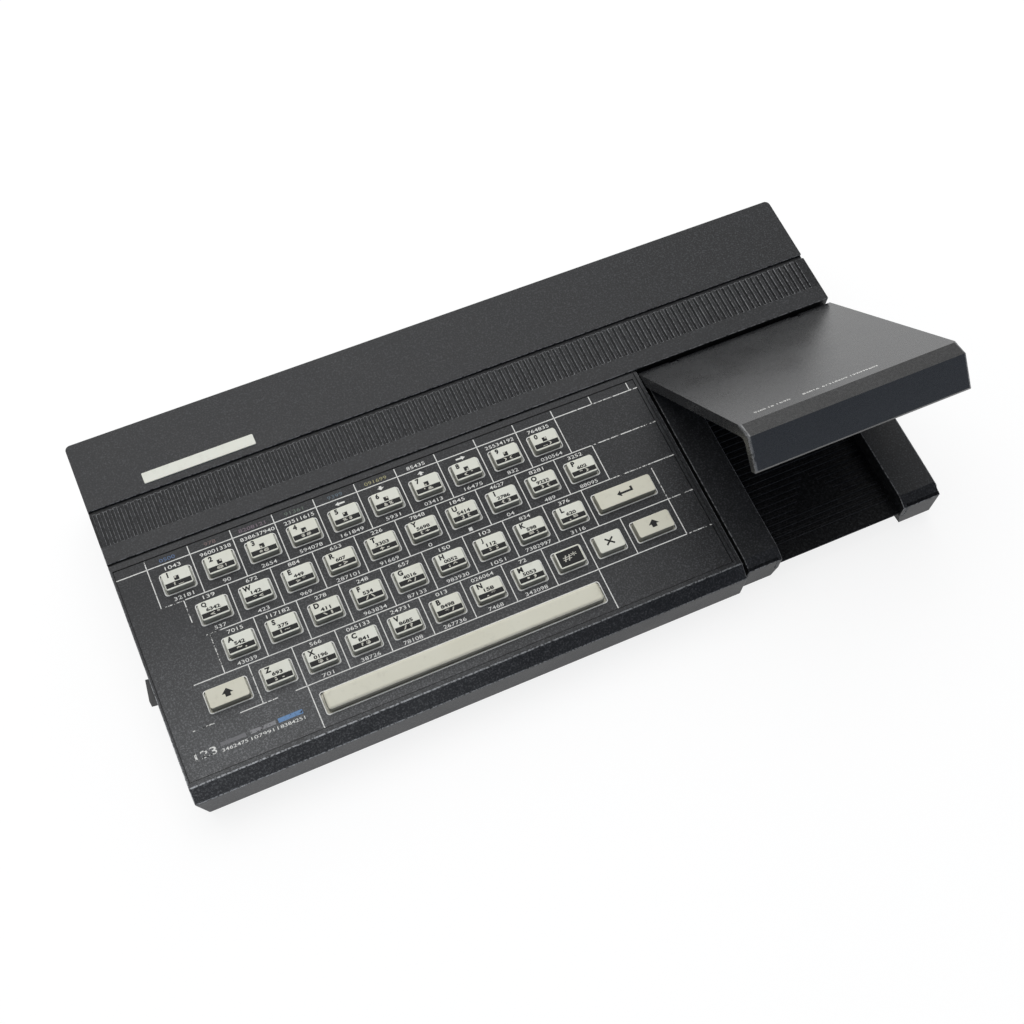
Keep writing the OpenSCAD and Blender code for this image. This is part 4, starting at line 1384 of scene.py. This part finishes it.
@dataclass
class Keyboard:
    """Faceplate, caps and their print. Places on the faceplate are in the deck's frame.

    A cap wider than wide_cap has the darker cream. Row_uprights give each row's first line
    and the number of its lines, and digits_above and digits_below the length of each key's
    numbers, where 0 is none. The wear of a print runs from 0 to 1.
    """

    pitch: float = 19.86
    plate_top: float = FRAME.plate_top
    plate_thickness: float = FRAME.plate_thickness
    flange: float = 0.8
    flange_thickness: float = 1.0
    gap: float = 0.42
    bar_gap: float = 0.75
    cap_corner: float = 1.0
    cap_edge: float = 0.3
    bar_corner: float = 1.4
    bar_edge: float = 1.2
    side_draw: float = 0.1
    front_draw: float = 0.1
    upright_wall: float = 0.3
    wide_cap: float = 16.0
    stem_radius: float = 2.5
    stem_sides: int = 24

    ring_reach: float = 0.65
    ring_width: float = 0.45
    ring_corner: float = 1.4
    ring_wear: float = 0.27
    row_wear: float = 0.3
    row_end_wear: float = 0.46
    row_uprights: tuple[tuple[float, int], ...] = ((-0.4, 11), (29.8, 10), (15.0, 10), (25.4, 10))
    tick_left: float = -0.4
    tick_count: int = 13
    tick_top: float = 4.6
    tick_wear: float = 0.4
    rules: tuple[Rule, ...] = (
        Rule(0.3, -14.3, 210), Rule(0.3, 210, 242, 0.47),
        Rule(-19.6, 1.5, 9.5, 0.5), Rule(-19.6, 10.5, 208), Rule(-19.6, 208, 242, 0.48),
        Rule(-38.8, 11.3, 20, 0.5), Rule(-38.8, 20, 208), Rule(-38.8, 208, 242, 0.48),
        Rule(-58.4, 1.0, 229), Rule(-58.4, 229, 242, 0.48),
        Rule(-77.6, -6, -5), Rule(-77.6, -2, 3.5, 0.48), Rule(-77.6, 15, 27),
        Rule(-77.6, 27, 32, 0.48), Rule(-77.6, 40, 229), Rule(-77.6, 229, 242, 0.48),
    )
    uprights: tuple[Upright, ...] = (
        Upright(9.8, -19.6, -31.3, 0.48), Upright(229, -41, -77.6, 0.45),
        Upright(45.4, -77.6, -98.0), Upright(184.3, -77.6, -98.0),
    )

    legend_size: float = 1.75
    legend_pitch: float = 1.8
    legend_wear: float = 0.27
    above: float = 7.6
    below: float = -7.85
    digits_above: tuple[tuple[int, ...], ...] = (
        (4, 8, 9, 8, 0, 0, 0, 0, 8, 6), (3, 3, 3, 3, 3, 4, 4, 4, 4, 4),
        (4, 6, 3, 3, 3, 3, 3, 3, 3), (0, 3, 6, 5, 3, 6, 2),
    )
    digits_below: tuple[tuple[int, ...], ...] = (
        (5, 2, 4, 6, 6, 4, 5, 5, 3, 6), (3, 3, 3, 6, 5, 1, 1, 2, 3, 5),
        (5, 0, 0, 6, 5, 6, 4, 7, 4), (0, 3, 5, 5, 6, 4, 6),
    )
    arrows: tuple[tuple[str, Icon], ...] = (
        ("5", Icon.LEFT), ("6", Icon.DOWN), ("7", Icon.UP), ("8", Icon.RIGHT))
    headers: tuple[Header, ...] = (
        Header(Tint.BLUE, 4), Header(Tint.RED, 3), Header(Tint.MAGENTA, 7), Header(Tint.GREEN, 5),
        Header(Tint.CYAN, 4), Header(Tint.YELLOW, 6), Header(Tint.WHITE, 5),
    )
    header_at: Point = (9.5, 2.3)
    header_wear: float = 0.36

    bars: tuple[Bar, ...] = (
        Bar(2.8, 14.0, -87.45, 1.7, Tint.GREY, (2.5, 14.0)),
        Bar(16.0, 27.3, -87.45, 1.7, Tint.PALE, (15.5, 27.5)),
        Bar(28.5, 39.5, -87.3, 2.0, Tint.SKY, (28.5, 39.5)),
    )
    bar_wear: float = 0.4
    bar_digits: int = 7
    bar_number_y: float = -90.2
    bar_number_size: float = 1.5
    bar_number_wear: float = 0.38
    plain_number_at: Point = (-4.2, -88.7)
    plain_number_size: float = 3.5
    plain_number_width: float = 9.5
    plain_number_wear: float = 0.47
    plain_number_weight: float = 0.01

    draws: random.Random = field(default_factory=lambda: random.Random(42))

    def build(self) -> None:
        """Make the faceplate, its print and the caps."""
        self.faceplate()
        self.print_grid()
        self.print_legends()
        self.print_bars()
        self.caps()

    def faceplate(self) -> None:
        """Copy the faceplate, whose edges stay sharp."""
        work = soften("keyboard_faceplate")
        work.finish(
            "faceplate_sheet", None, "case", Finish.FACEPLATE, "faceplate", ("keyboard_faceplate",))

    def keys(self) -> Iterator[tuple[str, Vector, Vector]]:
        """Every key with the corners of its opening.

        Yields:
            The key's name, and the lowest and highest corner in the deck's frame.
        """
        for node in FRAME.nodes:
            if node.startswith("key_"):
                low, high = FRAME.deck.extent(node)
                reach = Vector((self.flange, self.flange, 0))
                yield node, low + reach, high - reach

    def print_grid(self) -> None:
        """Print the outlines of the keys and the lines between them."""
        sheet = Print(self.plate_top)
        for _, low, high in self.keys():
            middle = (low + high) / 2
            size = (high - low).xy + Vector((2, 2)) * self.ring_reach
            sheet.ring(middle.xy, size, self.ring_corner, self.ring_width, wear=self.ring_wear)
        for rule in self.rules:
            sheet.line((rule.start, rule.y), (rule.end, rule.y), wear=rule.wear)
        for upright in self.all_uprights():
            sheet.line((upright.x, upright.top), (upright.x, upright.bottom), wear=upright.wear)
        sheet.finish("faceplate_grid", FRAME.deck, "case", Finish.INK, "")

    def all_uprights(self) -> Iterator[Upright]:
        """Every line that runs down the faceplate.

        Yields:
            The lines between the keys, row by row, then the ticks over them and the odd ones.
        """
        levels = sorted({rule.y for rule in self.rules}, reverse=True)
        for row, (first, count) in enumerate(self.row_uprights):
            for column in range(count):
                rubbed = column == 0 and row != 1
                wear = self.row_end_wear if rubbed else self.row_wear
                yield Upright(first + column * self.pitch, levels[row], levels[row + 1], wear)
        for column in range(self.tick_count):
            x = self.tick_left + column * self.pitch
            yield Upright(x, levels[0], self.tick_top, self.tick_wear)
        yield from self.uprights

    def print_legends(self) -> None:
        """Print plain numbers and arrows where the faceplate has its small legends."""
        sheet = Print(self.plate_top)
        places = {name: (low + high) / 2 for name, low, high in self.keys()}
        for names, over, under in zip(ROWS, self.digits_above, self.digits_below):
            for name, *counts in zip(names, over, under):
                middle = places[f"key_{name}"]
                for count, rise in zip(counts, (self.above, self.below)):
                    if count:
                        sheet.mark(number(self.draws, count), (middle.x, middle.y + rise),
                                   self.legend_size, count * self.legend_pitch,
                                   wear=self.legend_wear)
        x, y = self.header_at
        for column, header in enumerate(self.headers):
            sheet.mark(number(self.draws, header.digits), (x + column * self.pitch, y),
                       self.legend_size, header.digits * self.legend_pitch, tint=header.tint,
                       wear=self.header_wear)
        for name, icon in self.arrows:
            middle = places[f"key_{name}"]
            sheet.icon(icon, (middle.x, middle.y + self.above))
        sheet.finish("faceplate_legends", FRAME.deck, "case", Finish.INK, "")

    def print_bars(self) -> None:
        """Print the colour bars and the small plain numbers beside the space bar."""
        sheet = Print(self.plate_top)
        for bar in self.bars:
            sheet.line((bar.left, bar.y), (bar.right, bar.y), bar.width, tint=bar.tint,
                       wear=self.bar_wear)
            start, end = bar.span
            sheet.mark(number(self.draws, self.bar_digits),
                       ((start + end) / 2, self.bar_number_y), self.bar_number_size, end - start,
                       wear=self.bar_number_wear)
        sheet.mark("123", self.plain_number_at, self.plain_number_size, self.plain_number_width,
                   wear=self.plain_number_wear, weight=self.plain_number_weight)
        sheet.finish("faceplate_bars", FRAME.deck, "case", Finish.INK, "")

    def caps(self) -> None:
        """Make every key's cap with its skirt and stem, and the print on it."""
        print_shop = CapPrint(self.draws)
        for name, low, high in self.keys():
            self.cap(name, low, high)
            print_shop.make(name, low, high)

    def cap(self, name: str, low: Vector, high: Vector) -> None:
        """Make one key.

        Args:
            name: The key's name.
            low: Lowest corner of its opening.
            high: Highest corner.
        """
        bar = name == "key_space"
        side = self.bar_gap if bar else self.gap
        left, right = low.x + side, high.x - side
        front, rear = low.y + self.gap, high.y - self.gap
        under = self.plate_top - self.plate_thickness
        foot = under - self.flange_thickness
        middle = Vector(((left + right) / 2, (front + rear) / 2))

        def draw(vert: bmesh.types.BMVert) -> None:
            """Draw the block's top in.

            Args:
                vert: A vertex of the block.
            """
            if vert.co.z > 0:
                vert.co.x += math.copysign(self.side_draw, middle.x - vert.co.x)
                vert.co.y += self.front_draw if vert.co.y < middle.y else -self.side_draw

        work = Workpiece()
        corner, edge = (self.bar_corner, self.bar_edge) if bar else (self.cap_corner, self.cap_edge)
        work.round_block((left, front, under), (right, rear, high.z), corner, edge, draw)
        # Mark the cap's upright sides, which the key material paints in shade
        soil = work.bm.faces.layers.float.new(SHADE_LAYER)
        for face in work.bm.faces:
            face.normal_update()
            face[soil] = float(abs(face.normal.z) < self.upright_wall)
        reach = self.flange
        work.block((low.x - reach, low.y - reach, foot), (high.x + reach, high.y + reach, under))
        for step in (-1, 0, 1) if bar else (0,):
            x = middle.x + step * (high.x - low.x) / 3
            bmesh.ops.create_cone(
                work.bm, cap_ends=True, segments=self.stem_sides, radius1=self.stem_radius,
                radius2=self.stem_radius, depth=foot - low.z,
                matrix=Matrix.Translation((x, middle.y, (foot + low.z) / 2)),
            )
        finish = Finish.KEY_WIDE if right - left > self.wide_cap else Finish.KEY
        work.finish(f"{name}_cap", FRAME.deck, name, finish, "key_plastic", (name,))


# --- Door -------------------------------------------------------------------------------


@dataclass(frozen=True)
class Word:
    """One plain number in the door's line of print."""

    start: float
    end: float
    digits: int


@dataclass
class Door:
    """The cartridge door, with its plain print. Places are in the door's own plane."""

    edge: float = 0.3
    shortest: float = 3.0
    corner: float = 1.1
    corner_room: float = 1.2
    front: float = -100.8
    lip_top: float = -3.9
    lip_foot: float = 2.0
    end_slack: float = 0.05
    broad: float = 100.0
    bevel_shade: float = 0.5
    lip_shade: float = 0.3
    print_y: float = -93.5
    print_size: float = 1.3
    print_wear: float = 0.3
    words: tuple[Word, ...] = (
        Word(256.5, 262, 4), Word(263.5, 266, 2), Word(267.5, 274, 4), Word(280, 288, 5),
        Word(289.5, 302, 8), Word(303.5, 317, 9),
    )
    draws: random.Random = field(default_factory=lambda: random.Random(7))

    def build(self) -> None:
        """Make the cover, and print plain numbers along its front."""
        self.cover()
        sheet = Print(0.0)
        for word in self.words:
            middle = ((word.start + word.end) / 2, self.print_y)
            sheet.mark(number(self.draws, word.digits), middle, self.print_size,
                       word.end - word.start, wear=self.print_wear)
        sheet.finish("door_print", FRAME.door, "door", Finish.INK, "")

    def cover(self) -> None:
        """Copy the door with softened edges, rounder at the ends of its lip.

        The bevel above the lip is painted dark as shade, and so is the lip, but less.
        """
        low, high = FRAME.door.extent("cartridge_door")

        def at_end(place: Vector) -> bool:
            """Whether a place lies on the outer end of the lip."""
            outermost = min(place.x - low.x, high.x - place.x) < self.end_slack
            return outermost and place.y < self.front and place.z > low.z + self.lip_foot

        ends = Rounding(self.corner, 3, self.shortest, at_end, self.corner_room)
        rest = Rounding(self.edge, 2, self.shortest)
        work = soften("cartridge_door", ends, rest, plane=FRAME.door)
        soil = work.bm.faces.layers.float.new(SHADE_LAYER)
        back = FRAME.door.matrix.inverted()
        for face in work.bm.faces:
            place = back @ face.calc_center_median()
            if place.y < self.front and face.calc_area() > self.broad * MM * MM:
                # Painted shade on the door's front bevel and lip
                face[soil] = self.bevel_shade if place.z > self.lip_top else self.lip_shade
        work.finish("door_cover", None, "door", Finish.DOOR, "door_plastic", ("cartridge_door",))


# --- Studio -----------------------------------------------------------------------------


@dataclass(frozen=True)
class Lamp:
    """One square soft lamp that points at the part, in metres and watts."""

    name: str
    place: Place
    size: float
    power: float

    def hang(self) -> None:
        """Hang the lamp."""
        light = bpy.data.lights.new(self.name, "AREA")
        light.shape = "SQUARE"
        light.size = self.size
        light.energy = self.power
        holder = bpy.data.objects.new(self.name, light)
        holder.location = self.place
        holder.rotation_euler = (-Vector(self.place)).to_track_quat("-Z", "Y").to_euler()
        bpy.context.scene.collection.objects.link(holder)


@dataclass
class Studio:
    """Floor, lamps, surrounding light and camera.

    The camera's eye and aim are in the deck's millimetres, and the floor's width is in metres.
    The light around the part is in linear red, green and blue.
    """

    eye: Place = (13.2, -291.8, 616.0)
    aim: Place = (160.0, -36.6, 0.0)
    roll: float = math.radians(-1.045)
    lens: float = 52.72
    sensor: float = 36.0
    floor_width: float = 8.0
    paper: Colour = (240, 240, 240)
    paper_roughness: float = 0.9
    paper_gloss: float = 0.1
    glow: float = 1.05
    glow_share: float = 0.8
    lamps: tuple[Lamp, ...] = (
        Lamp("overhead_lamp", (-0.1, 0.5, 1.5), 1.4, 10),
        Lamp("rear_lamp", (0.7, 1.4, 0.45), 0.7, 2.2),
    )
    brightest: Place = (-0.15, 0.6, 0.8)
    bright_sky: Colour = (1.05, 1.05, 1.05)
    front_sky: Colour = (0.08, 0.12, 0.21)
    side_sky: Colour = (0.05, 0.06, 0.08)
    front_horizon: Colour = (0.5, 0.55, 0.63)
    rear_horizon: Colour = (0.97, 0.97, 0.97)

    def build(self) -> None:
        """Set up floor, lamps, world and camera."""
        self.floor()
        for lamp in self.lamps:
            lamp.hang()
        self.world()
        self.camera()

    def floor(self) -> None:
        """Lay a wide white floor that keeps the shadow under the part."""
        bpy.ops.mesh.primitive_plane_add(size=self.floor_width, location=(0, 0, 0))
        plane = bpy.context.object
        plane.name = "floor"
        paper = Surface("floor_paper")
        paper.set(
            Base_Color=linear(self.paper),
            Roughness=self.paper_roughness,
            Specular_IOR_Level=self.paper_gloss,
        )
        rays = ("Is Camera Ray", "Is Glossy Ray", "Is Transmission Ray")
        seen = sum((paper.node("ShaderNodeLightPath", output=ray) for ray in rays), 0)
        glow = paper.node(
            "ShaderNodeEmission", None, {"Color": (1, 1, 1, 1), "Strength": self.glow})
        lit = Wire(paper, paper.shader.outputs[0])
        inputs = {0: seen * self.glow_share, 1: lit, 2: glow}
        paper.feed(paper.output.inputs[0], paper.node("ShaderNodeMixShader", None, inputs))
        plane.data.materials.append(paper.material)

    def world(self) -> None:
        """Surround the part with light: bright overhead and behind, dim in front, pale low down."""
        world = bpy.data.worlds.new("studio")
        bpy.context.scene.world = world
        world.use_nodes = True
        sky = Graph(world.node_tree)
        way = sky.node("ShaderNodeTexCoord", output="Generated")
        axis = Vector(self.brightest).normalized()
        settings = {"operation": "DOT_PRODUCT"}
        toward = sky.node("ShaderNodeVectorMath", settings, {0: way, 1: tuple(axis)}, "Value")
        height = sky.node("ShaderNodeSeparateXYZ", None, {"Vector": way}, "Z")
        dim = sky.mix(toward.ramp(-0.3, 0.15), (*self.front_sky, 1), (*self.side_sky, 1))
        upper = sky.mix(toward.ramp(0.2, 0.85), dim, (*self.bright_sky, 1))
        low = sky.mix(
            toward.ramp(-0.5, 0.3), (*self.front_horizon, 1), (*self.rear_horizon, 1))
        back = world.node_tree.nodes["Background"]
        sky.feed(back.inputs["Color"], sky.mix(height.ramp(0.16, 0.34), low, upper))
        back.inputs["Strength"].default_value = 1.0
        bpy.context.scene.view_settings.view_transform = "Standard"

    def camera(self) -> None:
        """Stand the camera at its place."""
        lens = bpy.data.cameras.new("camera")
        lens.lens = self.lens
        lens.sensor_width = self.sensor
        holder = bpy.data.objects.new("camera", lens)
        eye = FRAME.deck.matrix @ Vector(self.eye)
        aim = FRAME.deck.matrix @ Vector(self.aim)
        turn = (aim - eye).to_track_quat("-Z", "Y").to_matrix().to_4x4()
        holder.matrix_world = Matrix.Translation(eye) @ turn @ Matrix.Rotation(self.roll, 4, "Z")
        bpy.context.scene.collection.objects.link(holder)
        bpy.context.scene.camera = holder


def main() -> None:
    """Build the studio and every sub-assembly."""
    logging.basicConfig(level=logging.INFO, format="%(name)s: %(message)s")
    FRAME.load()
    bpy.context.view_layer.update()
    for assembly in (Studio(), Case(), Keyboard(), Door()):
        log.info("building %s", type(assembly).__name__)
        assembly.build()


if __name__ == "__main__":
    main()
